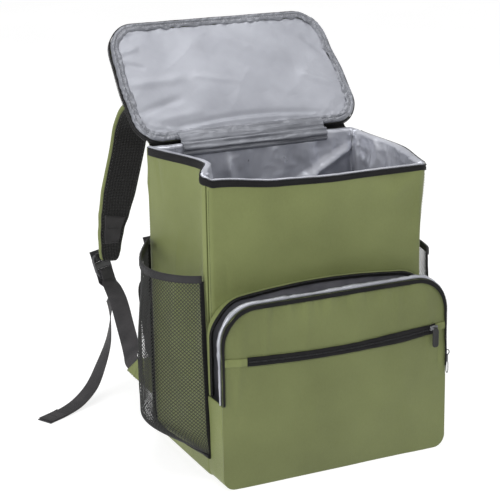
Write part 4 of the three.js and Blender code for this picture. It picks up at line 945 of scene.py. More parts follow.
# Green strip outside the hinge, from the wall to under the lid, with the tape inside it
def makeHingeStrip():
    back = halfDepth + gap
    wall = [(0, back, bag["height"] - drop * strip["drop"]) for drop in (1, 0.3)]
    wallOut = [(0, back + strip["thickness"], z) for _, _, z in wall]
    rows = [(-0.33, 0.92), (0.33, 1.06), (1, 1.19)]
    near, far = ([lidAt(0.0, lid["hingeGap"] + a * strip["reach"], -u * lid["foam"] - gap - thick) for a, u in rows]
                 for thick in (0, strip["thickness"]))
    half = halfWidth - bag["corner"]
    x = edged(-half, half, 120, 1.2)
    inner, outer = (pointsAt(x, *smoothLine(p, 30).T[1:, :, None]) for p in (wall + near, wallOut + far))
    outer += gridNormals(outer) * (0.35 * softCloud(outer, (12, 20, 20), 85))[..., None]
    addShell("hinge_strip_cloth", outer, inner, green, 0.8, replaced=["hinge_strip"])
    lines = [(outer[row] + [0, 0.2, 0], [0, 0.8, -0.6]) for row in (3, 26)]
    addStitches("hinge_strip_stitches", lines, greenThread, slot="green_fabric")
    facing = unit(inner - outer)[3:29]
    addShell("hinge_tape_cloth", inner[3:29] + facing * 1.3, inner[3:29] + facing * 0.3, tapeBlack, 0.7,
             slot="black_tape")


makeHinge()
makeHingeStrip()
print("lid made")


# --- front pocket ---

pocket = {
    "depth": 45, "height": 234, "radius": 46, "footRadius": 16, "swell": 9, "face": 2.4, "gusset": 2, "zipEnd": 112,
    "faceTape": 5.2, "faceTapeEnd": 2.8, "pipe": 2.1, "bow": 8.5, "zipHeight": 167, "zipSag": 5.5,
    "zipWidth": 11.5, "zipGape": 3.0, "zipFrom": -125, "zipTo": 139, "toothPitch": 1.6,
}
pocketHalf = halfWidth + gap + pocket["gusset"]
pocketFront = -halfDepth - pocket["depth"]


# A point of the face, lifted outwards: its bulge is (1 - x^2)(1 - z^2), with x and z from -1 to 1 over the face
def faceAt(x, z, lift):
    alongX = 1 - (x / pocketHalf) ** 2
    alongZ = 1 - (2 * np.clip(z / pocket["height"], 0, 1) - 1) ** 2
    return pointsAt(x, pocketFront - pocket["swell"] * np.maximum(0, alongX * alongZ) - lift, z)


# How far the sagging body side of the pocket's opening is bowed upwards
def bowAt(x):
    return pocket["bow"] * np.clip(1 - (x / 132) ** 2, 0, 1) ** 1.3


# Height of a rounded top over a place across it
def topAt(x, side, top, radius):
    over = np.maximum(0, np.abs(x) - (side - radius))
    return top - radius + np.sqrt(np.maximum(0, radius ** 2 - over ** 2))


# Height of the face's own top over a place across it
def faceTop(x):
    return topAt(x, pocketHalf, pocket["height"], pocket["radius"])


# Height of the small zip: a parabola that sags in the middle
def seamHeight(x):
    return pocket["zipHeight"] - pocket["zipSag"] * (1 - (x / pocketHalf) ** 2)


# Width of the small zip's band: it gapes towards its slider
def zipWidthAt(x):
    return pocket["zipWidth"] + pocket["zipGape"] * np.exp(-((x - 88) / 42) ** 2)


# Columns across the pocket that crowd where its corners turn
def pocketColumns(side, radius, middle=110):
    turn = np.radians(spaced([0, 90], [14]))
    reach = radius * (1 - np.cos(turn))
    return withEdges(np.concatenate([reach - side, np.linspace(radius - side, side - radius, middle)[1:-1],
                                     (side - reach)[::-1]]), 1.0)


faceLook = {"sway": 1.0, "pucker": 1.5, "edge": 1.1, "deepest": -0.6, "beyond": 50}
faceFolds = [  # (x at the top, x at the foot, half width, depth, lowest, highest)
    (-128, -150, 10, 1.6, 0.45, 0.98), (-96, -112, 9, 1.0, 0.6, 1.02), (-40, -70, 16, 0.9, 0.6, 1.02),
    (30, 12, 15, 0.7, 0.6, 1.0), (88, 60, 18, 1.0, 0.6, 1.02), (124, 146, 9, 1.4, 0.5, 1.0),
    (141, 150, 5, -1.2, 0.4, 0.75), (-60, -20, 30, 0.8, 0.05, 0.5), (70, 110, 28, 0.8, 0.05, 0.6),
]


# Relief of the pocket's face: slow sway, folds that hang from the zip, and puckers along its curved edge
def faceRelief(x, z, top):
    flat = pointsAt(x, 0.0, z)
    toEdge = np.minimum(top - z, pocketHalf - np.abs(x))
    pucker = faceLook["pucker"] * softCloud(flat * [1, 1, 0.35], (11, 11, 11), 91)
    pucker = pucker * np.exp(-np.maximum(toEdge - 8, 0) / 12)
    folds = foldsAt(x, np.clip(z / pocket["height"], 0, 1), faceFolds)
    besideZip = np.exp(-(np.abs(z - seamHeight(x)) - zipWidthAt(x) / 2).clip(0) / 3.0)
    pull = 0.5 * softCloud(flat, (13, 13, 20), 92) * besideZip
    sway = faceLook["sway"] * softCloud(flat, (60, 60, 75), 93) * ease(toEdge / 25)
    return np.maximum(sway + pucker * (z > 100) + folds + pull, faceLook["deepest"])


# The face in two pieces, over and under the small zip, and the grey lining behind both
def makePocketFace():
    sides = {"upper": (pocket["radius"], 70), "lower": (pocket["footRadius"], 90)}
    for name, (radius, steps) in sides.items():
        share, x = gridOf(edged(0, 1, steps, 0.02), pocketColumns(pocketHalf, radius))
        top = faceTop(x)
        foot = -topAt(x, pocketHalf, 0, pocket["footRadius"])
        seam = seamHeight(x)
        z = mix(seam + gap / 2, top, share) if name == "upper" else mix(foot, seam - gap / 2, share)
        outer = faceAt(x, z, faceRelief(x, z, top))
        inner = faceAt(x, z, -pocket["face"])
        # The face takes the darker copy of the cloth, as painted shade
        addShell("pocket_face_" + name + "_cloth", outer, inner, greenFaceShaded, faceLook["edge"],
                 replaced=["pocket_face_" + name])
    share, x = gridOf(edged(0, 1, 60, 0.02), pocketColumns(pocketHalf - 4, pocket["radius"] - 4, 70))
    z = mix(20, topAt(x, pocketHalf - 4, pocket["height"] - 6, pocket["radius"] - 4), share)
    ripple = 0.4 * softCloud(pointsAt(x, 0.0, z), (20, 20, 40), 95)
    near = faceAt(x, z, -pocket["face"] - 0.5)
    far = near - toFront * (1.3 + ripple)[..., None]
    addShell("pocket_face_lining", near, far, pocketGrey, 0.5, slot="grey_lining")


# Zip across the face: tape, teeth, the stitches beside it and the cloth strips at its two ends
def makeSmallZip():
    row, x = gridOf(edged(-0.5, 0.5, 16, 0.03),
                         edged(pocket["zipFrom"], pocket["zipTo"], 150, 1.0))
    middle = seamHeight(x)
    z = middle + row * zipWidthAt(x)
    base = faceRelief(x, z, faceTop(x))
    hollow = 0.7 * np.exp(-(row / 0.11) ** 2) - 0.5 * np.exp(-((np.abs(row) - 0.3) / 0.14) ** 2)
    outer = faceAt(x, z, base + gap + bag["tape"] - hollow)
    addShell("small_zip_tape_cloth", outer, faceAt(x, z, base + gap), tapeBlack, 0.7, replaced=["small_zip_tape"])
    line = np.arange(pocket["zipFrom"] + 2, pocket["zipTo"] - 4, 1.5)
    level = seamHeight(line)
    lift = np.interp(line, x[8], base[8]) + gap + bag["tape"] + 0.1
    low, high = faceAt(line - 0.4, level - 1.5, lift), faceAt(line + 0.4, level + 1.5, lift)
    addThreads("small_zip_teeth", low, high, toFront, 0.95, 1.0, coilBlack, slot="black_tape")
    for name, start, end in (("left", -pocketHalf + 2, pocket["zipFrom"]), ("right", pocket["zipTo"], pocketHalf - 2)):
        row, x = gridOf(edged(-0.5, 0.5, 12, 0.05), edged(start, end, 24, 1.0))
        z = seamHeight(x) + row * (pocket["zipWidth"] - 1.6)
        base = faceRelief(x, z, faceTop(x))
        puff = 0.5 * (1 - (2 * row) ** 2)
        addShell("zip_end_cloth_" + name, faceAt(x, z, base + 1.3 + puff), faceAt(x, z, base + 0.3), green, 0.8,
                 slot="green_fabric")
    along = np.arange(pocket["zipFrom"], pocket["zipTo"], 2.0)
    lines = []
    for side in (-1, 1):
        level = seamHeight(along) + side * (zipWidthAt(along) / 2 + 1.6)
        lines.append((faceAt(along, level, faceRelief(along, level, faceTop(along))), toFront))
    addStitches("small_zip_stitches", lines, greenThread, slot="green_fabric")


# The pocket's outline over its top or round its foot, with outward normals, at even steps
def pocketPath(inset, over, step):
    side = pocketHalf - inset
    radius = pocket["radius" if over else "footRadius"] - inset
    level = pocket["height"] - inset - radius if over else pocket["footRadius"]
    turn = np.radians(spaced([0, 90 if over else -90], [20]))
    right = np.stack([side - radius + radius * np.cos(turn), level + radius * np.sin(turn)], axis=-1)
    line = np.concatenate([[[side, pocket["zipEnd"]]], right, right[::-1] * [-1, 1], [[-side, pocket["zipEnd"]]]])
    line = evenly(line, step)[0]
    slope = unit(np.gradient(line, axis=0))
    normal = np.stack([slope[:, 1], -slope[:, 0]], axis=-1)
    return line, normal if over else -normal


# Points or directions in the face's plane, given as (across, up), at a depth
def atDepth(line, y):
    return pointsAt(line[..., 0], y, line[..., 1])


# The pocket's side wall and foot: rows from the seam at the compartment's front, forward to the face
def makeGusset():
    line, normal = pocketPath(0, False, 2.0)
    sewn = mix(halfDepth + gap, halfDepth - bag["corner"], ease((line[:, 1] - 26) / 14))
    share = edged(0, 1, 40, 0.015)[:, None]
    front = pocketFront + pocket["face"] + gap
    y = mix(-sewn[None], front, share)
    flat = atDepth(line, y)
    besideFace = 0.3 * softCloud(flat, (10, 10, 12), 102) * np.exp(-(1 - share) * 12)
    relief = np.clip(0.5 * softCloud(flat, (30, 24, 40), 101) + besideFace, -0.6, 1.2) * ease(flat[..., 2] / 6)
    outwards = atDepth(normal, 0.0)
    inner = flat - outwards * pocket["gusset"]
    addShell("pocket_gusset_cloth", flat + outwards * relief[..., None], inner, green, 0.9, replaced=["pocket_gusset"])


# The two halves of the pocket's zip: tape and teeth on the face, and a green strip, tape and teeth on the body
def makePocketZip():
    line, normal = pocketPath(0, True, 1.5)
    climbed = (line[:, 1] - pocket["zipEnd"]) / (pocket["height"] - pocket["zipEnd"])
    width = mix(pocket["faceTapeEnd"], pocket["faceTape"], ease((climbed - 0.33) / 0.61))
    share = edged(0, 1, 8, 0.06)[:, None]
    reach = line[None] - normal[None] * (share * width)[..., None]
    relief = faceRelief(reach[..., 0], reach[..., 1], pocket["height"] + faceLook["beyond"])
    puff = 0.5 * np.sin(np.pi * share)
    outer = faceAt(reach[..., 0], reach[..., 1], relief + 2 * gap + bag["tape"] + puff)
    inner = faceAt(reach[..., 0], reach[..., 1], relief + 2 * gap)
    addShell("pocket_face_tape_cloth", outer, inner, tapeBlack, 0.7, replaced=["pocket_face_tape"])
    edge = line + normal * 0.5
    toothAt, facing = evenly(atDepth(edge, pocketFront - 0.2), pocket["toothPitch"], atDepth(normal, 0.0))
    addThreads("pocket_face_teeth", toothAt - toFront * 1.0, toothAt + toFront * 1.1, unit(facing), 1.0, 1.1, coilBlack,
               slot="black_tape")
    seam = line - normal * (width + 1.3)[:, None]
    lift = faceRelief(seam[:, 0], seam[:, 1], pocket["height"] + faceLook["beyond"]) + 0.1
    addStitches("pocket_face_stitches", [(faceAt(seam[:, 0], seam[:, 1], lift), toFront)], greenThread,
                slot="green_fabric")

    pipeLine, pipeNormal = pocketPath(-0.3, True, 1.5)
    out = atDepth(pipeNormal, 0.0)
    pipeBack = pocketFront + pocket["face"] + gap + pocket["pipe"]
    centre = atDepth(pipeLine, pipeBack + 0.8)
    swell = 0.95 + 0.3 * softCloud(centre, (8, 8, 8), 111) + 0.24 * cloudNoise(centre, (30, 30, 30), 112)
    swell = swell * mix(0.55, 1.0, ease((pipeLine[:, 1] - 150) / 40))
    section = roundSection(pocket["pipe"], 14) * [1.5, 1.75]
    rings = ringsOf(centre, out, toFront, section[None] * swell[:, None, None])
    addBar("pocket_piping", rings, silver, replaced=["pocket_edge_binding"])

    backLine, backNormal = pocketPath(pocket["gusset"], True, 1.5)
    backOut = atDepth(backNormal, 0.0)
    backLine = backLine + np.stack([0 * backLine[:, 0], bowAt(backLine[:, 0]) * (backLine[:, 1] > 180)], axis=-1)
    wall = -halfDepth - gap
    turned = np.degrees(np.arctan2(backNormal[:, 1], np.abs(backNormal[:, 0])))
    fuller = 1 + 1.3 * np.exp(-((turned - 38) / 26) ** 2)

    def band(name, profile, thick, material, **about):
        steps = smoothLine(profile, 14)
        swollen = np.where(steps[:, 1:] > 3, (fuller[None] - 1) * 4.4, (fuller[None] - 1) * steps[:, 1:] * 0.9)
        ahead = toFront * (steps[:, 1:] + swollen)[..., None]
        near = atDepth(backLine, wall) + backOut * steps[:, :1, None] + ahead
        facing = gridNormals(near)
        wave = 0.25 * cloudNoise(near, (14, 14, 14), 113)
        outer = near + facing * (thick / 2 + wave)[..., None]
        addShell(name, outer, near - facing * thick / 2, material, 0.6, **about)

    band("pocket_rim_cloth", [(0.5, 0.2), (0.5, 2.2), (0.2, 4.4)], 1.1, green, slot="green_fabric")
    band("pocket_back_tape_cloth", [(0.1, 3.8), (-0.2, 5.6), (-0.9, 6.6), (-2.4, 6.4), (-4.2, 4.8), (-5.4, 3.2)], 1.0,
         tapeBlack, replaced=["pocket_back_tape"])
    tooth = atDepth(backLine - backNormal * 0.9, wall - 7.3 - (fuller - 1) * 4.4)
    toothAt, facing = evenly(tooth, pocket["toothPitch"], backOut)
    facing = unit(facing)
    addThreads("pocket_back_teeth", toothAt - facing * 1.1, toothAt + facing * 0.9, toFront, 1.0, 1.1,
               coilBlack, slot="black_tape")

    margin = pocket["gusset"] + 2.0
    share, x = gridOf(edged(0, 1, 70, 0.02),
                           pocketColumns(pocketHalf - margin, pocket["radius"] - margin, 120))
    top = topAt(x, pocketHalf - margin, pocket["height"] - margin, pocket["radius"] - margin) + bowAt(x)
    z = mix(bag["roll"], top, share)
    flat = pointsAt(x, 0.0, z)
    ripple = 0.5 * softCloud(flat, (24, 24, 60), 115) + 0.8 * creases(flat, (40, 40, 90), 116, 4)
    hold = ease((1 - share) * 9)
    outer = pointsAt(x, wall - 0.5 - bag["lining"] * 0.5 - np.maximum(ripple, 0) * hold, z)
    addShell("pocket_lining_cloth", outer, pointsAt(x, wall, z), pocketGrey, 0.5, replaced=["pocket_lining"])


makePocketFace()
makeSmallZip()
makeGusset()
makePocketZip()
print("front pocket made")


# --- mesh pockets ---

net = {"cell": 5.1, "thread": 0.84, "high": 0.7, "shortest": 0.6, "overlap": 0.2, "top": 264, "topRise": 5, "band": 11,
       "trim": 6.5, "thick": 1.2, "front": 6, "footForward": 13, "back": 11, "footFront": 30, "footBack": 9}
meshPockets = {
    "left": {"hand": -1, "bulge": 57, "tuck": 0.18, "drop": 0,
             "folds": [(0.3, 0.42, 0.035, -2.4, 0.25, 1.02), (0.52, 0.66, 0.03, -3.0, 0.1, 1.02),
                       (0.42, 0.5, 0.05, 1.6, 0.2, 0.95), (0.75, 0.8, 0.05, 2.0, 0.2, 1.0),
                       (0.14, 0.1, 0.035, -1.8, 0.0, 0.6)]},
    "right": {"hand": 1, "bulge": 30, "tuck": 0.6, "drop": 9,
              "folds": [(0.35, 0.3, 0.04, 2.2, 0.2, 1.0), (0.62, 0.7, 0.04, -2.2, 0.2, 1.0),
                        (0.8, 0.74, 0.04, 1.8, 0.1, 0.9)]},
}


# A point of a mesh pocket: a bulge along the side that rises from its foot and draws in below its band
def meshAt(side, share, high, lift):
    look = meshPockets[side]
    front = -halfDepth + net["front"] - net["footForward"] * (1 - high) * (1 - share)
    y = mix(front, halfDepth - net["back"], share)
    foot = mix(net["footFront"], net["footBack"], share)
    swell = np.sin(np.pi * np.clip(share, 0, 1) ** 0.7)
    rise = ease(high / 0.2) ** 0.62 * (1 - look["tuck"] * ease((high - 0.5) / 0.5))
    hold = np.clip(np.minimum(share, 1 - share) / 0.08, 0, 1) * ease(high / 0.1) * ease((1 - high) / 0.07)
    folds = foldsAt(share, high, look["folds"]) * hold
    reach = pocketHalf + gap + lift + look["bulge"] * swell * rise + folds
    top = net["top"] - look["drop"] + net["topRise"] * share
    return pointsAt(look["hand"] * reach, y, mix(foot, top, high))


# A mesh pocket: a net of straight links between the points of a staggered lattice, the elastic band with two rows
# of stitches, the binding at its foot and the edging at its two sides
def makeMeshPocket(side):
    look = meshPockets[side]
    fine = np.linspace(0, 1, 600)
    length = alongGrid(meshAt(side, fine, 0.5, 0.0)[None], 1)[0]
    columns = int(length[-1] / net["cell"])
    rows = int((net["top"] - net["band"]) / (net["cell"] / 2))
    i, j = gridOf(np.arange(columns + 1), np.arange(rows + 1))
    even = (i + 0.5 * (j % 2)) / columns
    share = np.interp(np.clip(even, 0, 1) * length[-1], length, fine)
    share = mix(0.0015, 0.995, share)
    high = mix(0.012, 1 - 0.6 * net["band"] / net["top"], j / rows)
    knots = meshAt(side, share, high, net["thick"] / 2)
    facing = gridNormals(knots)
    starts, ends, outs = [], [], []
    for parity, steps in ((0, (-1, 0)), (1, (0, 1))):
        for step in steps:
            chosen = (j[:, :-1] % 2 == parity) & (i[:, :-1] + step >= 0) & (i[:, :-1] + step <= columns)
            a, b = i[:, :-1][chosen], j[:, :-1][chosen]
            starts.append(knots[a, b])
            ends.append(knots[a + step, b + 1])
            outs.append(facing[a, b])
    starts, ends, outs = (np.concatenate(part) for part in (starts, ends, outs))
    kept = np.linalg.norm(ends - starts, axis=1) > net["shortest"]
    starts, ends, outs = starts[kept], ends[kept], outs[kept]
    overlap = unit(ends - starts) * net["thread"] * net["overlap"]
    addThreads("mesh_net_" + side, starts - overlap, ends + overlap, outs, net["thread"], net["high"], netBlack,
               {"shares": (0, 1), "sizes": (1, 1)}, replaced=["mesh_pocket_" + side])

    wide = edged(0, 1, 150, 0.004)
    bandLow = 1 - net["band"] / net["top"]
    share, high = np.meshgrid(wide, edged(bandLow, 1, 20, 0.0012))
    across = (high - bandLow) / (1 - bandLow)
    place = meshAt(side, share, high, 0.0)
    gather = 0.35 * softCloud(place * [0, 1, 0.15], (5, 5, 8), 121)
    rib = 0.22 * np.cos(across * 2 * np.pi * 5) + 0.4 * (1 - (2 * across - 1) ** 2)
    outer = meshAt(side, share, high, net["thick"] + gap + 1.1 + rib + gather)
    addShell("mesh_band_cloth_" + side, outer, meshAt(side, share, high, -0.3), bandBlack, 0.9,
             replaced=["mesh_band_" + side])

    trimHigh = net["trim"] / net["top"]
    share, high = np.meshgrid(wide, edged(0, trimHigh, 14, 0.0012))
    place = meshAt(side, share, high, 0.0)
    pleat = 0.9 * np.maximum(softCloud(place * [0.3, 1, 0.3], (9, 9, 9), 123), -0.4)
    roll = 0.7 * (1 - (2 * high / trimHigh - 1) ** 2)
    outer = meshAt(side, share, high, net["thick"] + gap + 0.6 + roll + pleat)
    addShell("mesh_trim_cloth_" + side, outer, meshAt(side, share, high, -0.3), tapeBlack, 0.8,
             replaced=["mesh_trim_" + side])

    for end, low, top in (("front", 0.0, 0.003), ("back", 0.975, 1.0)):
        share, high = np.meshgrid(edged(low, top, 10, 0.0003),
                                  edged(trimHigh * 0.4, bandLow + 0.01, 110, 0.002))
        puff = 0.25 * cloudNoise(meshAt(side, share, high, 0.0), (8, 8, 8), 125)
        outer = meshAt(side, share, high, net["thick"] + 0.6 + puff)
        addShell("mesh_edge_" + end + "_" + side, outer, meshAt(side, share, high, -2.2), tapeBlack, 0.6,
                 slot="black_tape")
    line = np.linspace(0.01, 0.99, 160)
    lines = []
    for level in (bandLow + 0.12 * (1 - bandLow), bandLow + 0.88 * (1 - bandLow)):
        path = meshAt(side, line, level, net["thick"] + gap + 1.55)
        lines.append((path, look["hand"] * toRight))
    addStitches("mesh_band_stitches_" + side, lines, blackThread, slot="black_tape")


for side in meshPockets:
    makeMeshPocket(side)
print("mesh pockets made")


# --- shoulder straps ---

strap = {"width": 54, "foam": 7, "mesh": 1.8, "margin": 2.5, "reach": 200, "web": 25, "webThick": 1.4, "puff": 1.1,
         "channel": 7.5}
lock = {"wide": 34, "long": 32, "thick": 4.6, "bar": 5, "slot": 7, "corner": 9, "lean": 20.3, "behind": 14, "below": 9,
        "rail": 3.6, "barWide": 10.4, "endWide": 9.6, "tab": 12.5, "tabThick": 2.4}
anchor = {"out": 18, "behind": 27, "height": 84, "low": 44, "high": 102, "thick": 2.4}
padWidths = [(0, 0.9), (0.2, 1), (0.72, 0.98), (0.82, 0.87), (0.9, 0.74), (0.965, 0.63), (0.99, 0.56), (1, 0.42)]
straps = {
    "left": {
        "hand": -1, "turn": 29, "corner": 5.5,
        "pad": [(-0.34, 0, 0.86), (-0.35, 0.01, 0.92), (-0.44, 0.235, 1.03), (-0.56, 0.525, 1.1), (-0.65, 0.745, 1.065),
                (-0.69, 0.83, 1.0), (-0.735, 0.855, 0.9), (-0.8, 0.89, 0.77), (-0.845, 0.92, 0.673),
                (-0.88, 0.94, 0.595), (-0.9, 0.965, 0.475)],
        "web": [(-1.06, 0.25, 0.245, -28, 28), (-1.0, 0.48, 0.3, -25, 20), (-0.95, 0.7, 0.355, -20, 12)],
        "tail": [(-0.94, 0.9, 0.335, -88), (-0.975, 0.83, 0.27, -112), (-1.03, 0.78, 0.19, -98),
                 (-1.14, 0.715, 0.115, -84), (-1.28, 0.63, 0.052, -72), (-1.45, 0.555, 0.015, -66),
                 (-1.63, 0.48, 0.003, -63), (-1.83, 0.4, 0.001, -62)],
    },
    "right": {
        "hand": 1, "turn": 12, "corner": 3.5,
        "pad": [(0.34, 0, 0.86), (0.34, 0.01, 0.92), (0.34, 0.235, 1.03), (0.27, 0.525, 1.1), (0.15, 0.745, 1.065),
                (0.06, 0.83, 1.0), (-0.06, 0.855, 0.9), (-0.19, 0.89, 0.77), (-0.28, 0.92, 0.673), (-0.32, 0.94, 0.595),
                (-0.39, 0.965, 0.5)],
        "web": [(0.85, 0.32, 0.25, -155, 25), (0.4, 0.58, 0.3, -165, 8), (-0.05, 0.85, 0.35, -172, 0)],
        "tail": [(-0.5, 1.05, 0.34, 10), (-0.505, 1.03, 0.26, 6), (-0.49, 1.02, 0.18, 0), (-0.46, 1.03, 0.1, -6),
                 (-0.42, 1.05, 0.045, -12)],
    },
}


# Frames along a smooth line: its points, the width direction made square to it, the outward and the forward one
def framesAlong(points, acrossAt, count):
    fine = smoothLine(points, 8 * (count - 1) + 1)
    along = unit(np.gradient(fine, axis=0))[::8]
    wide = acrossAt(np.linspace(0, 1, count))
    across = unit(wide - along * (wide * along).sum(axis=-1, keepdims=True))
    return fine[::8], across, np.cross(across, along), along


# A direction turned about the upright axis, then tilted up, in degrees
def heading(turn, tilt=0.0):
    a, b = np.radians(turn), np.radians(tilt)
    return np.array([np.cos(a) * np.cos(b), np.sin(a) * np.cos(b), np.sin(b)])


# A point of a strap, from shares of the half width, of the reach behind the bag and of the height
def strapPoint(row, rest=0.0):
    seat = halfDepth + gap + strap["foam"] / 2
    return np.array([row[0] * halfWidth, seat + row[1] * strap["reach"], rest + row[2] * bag["height"]])


# Width directions between the points of a strap, each turned round where it would flip
def blendAcross(headings):
    turned = [headings[0]]
    for following in headings[1:]:
        turned.append(following * (-1 if following @ turned[-1] < 0 else 1))
    knots = np.arange(len(turned)) / (len(turned) - 1)
    turned = np.array(turned)
    return lambda share: np.stack([np.interp(share, knots, turned[:, k]) for k in range(3)], axis=-1)


# A pad: its frames carry a cushion section with a sewn channel beside each edge
def makePad(side):
    look = straps[side]
    points = [strapPoint(row) for row in look["pad"]]
    origin, across, out, along = framesAlong(points, lambda share: np.tile(toRight, (len(share), 1)), 161)
    share = np.linspace(0, 1, len(origin))
    half = strap["width"] / 2 * fromTable(padWidths, share)
    column = edged(-1, 1, 36, 0.03)
    reach = half[:, None] * column[None]
    toEdge = half[:, None] - np.abs(reach)
    thick = strap["foam"] / 2
    place = origin[:, None] + across[:, None] * reach[..., None]
    soft = 0.45 * softCloud(place, (26, 26, 26), 131) + 0.25 * softCloud(place, (9, 9, 9), 132) * np.exp(-toEdge / 6)
    channel = -1.5 * np.exp(-((toEdge - strap["channel"]) / 1.3) ** 2)
    crown = strap["puff"] * (1 - column[None] ** 2)
    shape = thick * np.sqrt(np.clip(1 - (1 - np.clip(toEdge / 4.0, 0, 1)) ** 2, 0, 1))
    upper = shape + crown + soft + channel * np.clip(toEdge / 4, 0, 1)
    piece = addShell("strap_pad_cloth_" + side, place + out[:, None] * upper[..., None],
                     place - out[:, None] * shape[..., None], green, 0.8, replaced=["strap_pad_" + side])
    lines = []
    for hand in (-1, 1):
        sewn = (share > 0.02) & (share < 0.93)
        line = (origin + across * (hand * (half - strap["channel"]))[:, None] + out * (thick + 0.4))[sewn]
        lines.append((line, out[sewn]))
    addStitches("strap_pad_stitches_" + side, lines, greenThread, slot="green_fabric")

    rows = slice(16, None)
    near = -thick - 0.3
    halfMesh = half[rows] - strap["margin"]
    reach = halfMesh[:, None] * column[None]
    toEdge = halfMesh[:, None] - np.abs(reach)
    place = origin[rows, None] + across[rows, None] * reach[..., None]
    dip = 0.9 * np.exp(-((toEdge - 3.0) / 1.1) ** 2)
    soft = 0.4 * softCloud(place, (22, 22, 22), 135)
    far = near - strap["mesh"] - 0.5 * (1 - column[None] ** 2) - soft + dip * 0.6
    addShell("strap_mesh_cloth_" + side, place + out[rows, None] * np.broadcast_to(far, toEdge.shape)[..., None],
             place + out[rows, None] * near, airMesh, 0.9, replaced=["strap_mesh_" + side])
    lines = []
    for hand in (-1, 1):
        beside = across[rows] * (hand * (halfMesh - 2.4))[:, None]
        line = origin[rows] + beside + out[rows] * (near - strap["mesh"] - 0.2)
        lines.append((line[:-8], -out[rows][:-8]))
    addStitches("strap_mesh_stitches_" + side, lines, greyThread, pitch=5.0, length=1.8, wide=0.6, slot="green_fabric")

    # Reinforcing patch across the lower end, with three rows of stitches across it
    spot = slice(132, 152)
    column = edged(-1, 1, 16, 0.04)
    reach = (half[spot] - 7.5)[:, None] * column[None]
    place = origin[spot, None] + across[spot, None] * reach[..., None]
    top = near - strap["mesh"] - 1.6 + 0.2 * cloudNoise(place, (7, 7, 7), 137)
    addShell("strap_patch_" + side, place + out[spot, None] * top[..., None],
             place + out[spot, None] * (near - strap["mesh"] + 0.2), webBlack, 0.8, slot="black_tape")
    lines = []
    for row in (133, 142, 150):
        beside = across[row] * np.linspace(-1, 1, 20)[:, None] * (half[row] - 9.5)
        lines.append((origin[row] + beside + out[row] * (near - strap["mesh"] - 1.7), -out[row]))
    addStitches("strap_patch_stitches_" + side, lines, blackThread, pitch=2.6, length=1.8, slot="black_tape")
    return origin[-1], across[-1], out[-1], along[-1]


# A closed bar round a rounded rectangle that lies in the plane of two directions
def addFrame(name, centre, across, down, out, wide, long, corner, section, material, **about):
    turn = np.radians(spaced([0, 90], [8]))
    arcs = []
    for k, (sx, sy) in enumerate(((1, 1), (-1, 1), (-1, -1), (1, -1))):
        angle = turn + k * np.pi / 2
        arcs.append(np.stack([sx * (wide / 2 - corner) + corner * np.cos(angle),
                              sy * (long / 2 - corner) + corner * np.sin(angle)], axis=-1))
    line = np.concatenate(arcs)
    normal = np.concatenate([np.stack([np.cos(turn + k * np.pi / 2), np.sin(turn + k * np.pi / 2)], axis=-1)
                             for k in range(4)])
    origin = centre + line[:, :1] * across + line[:, 1:] * down
    facing = normal[:, :1] * across + normal[:, 1:] * down
    rings = ringsOf(origin, facing, out, section)
    return addBar(name, rings, material, wrapped=True, **about)


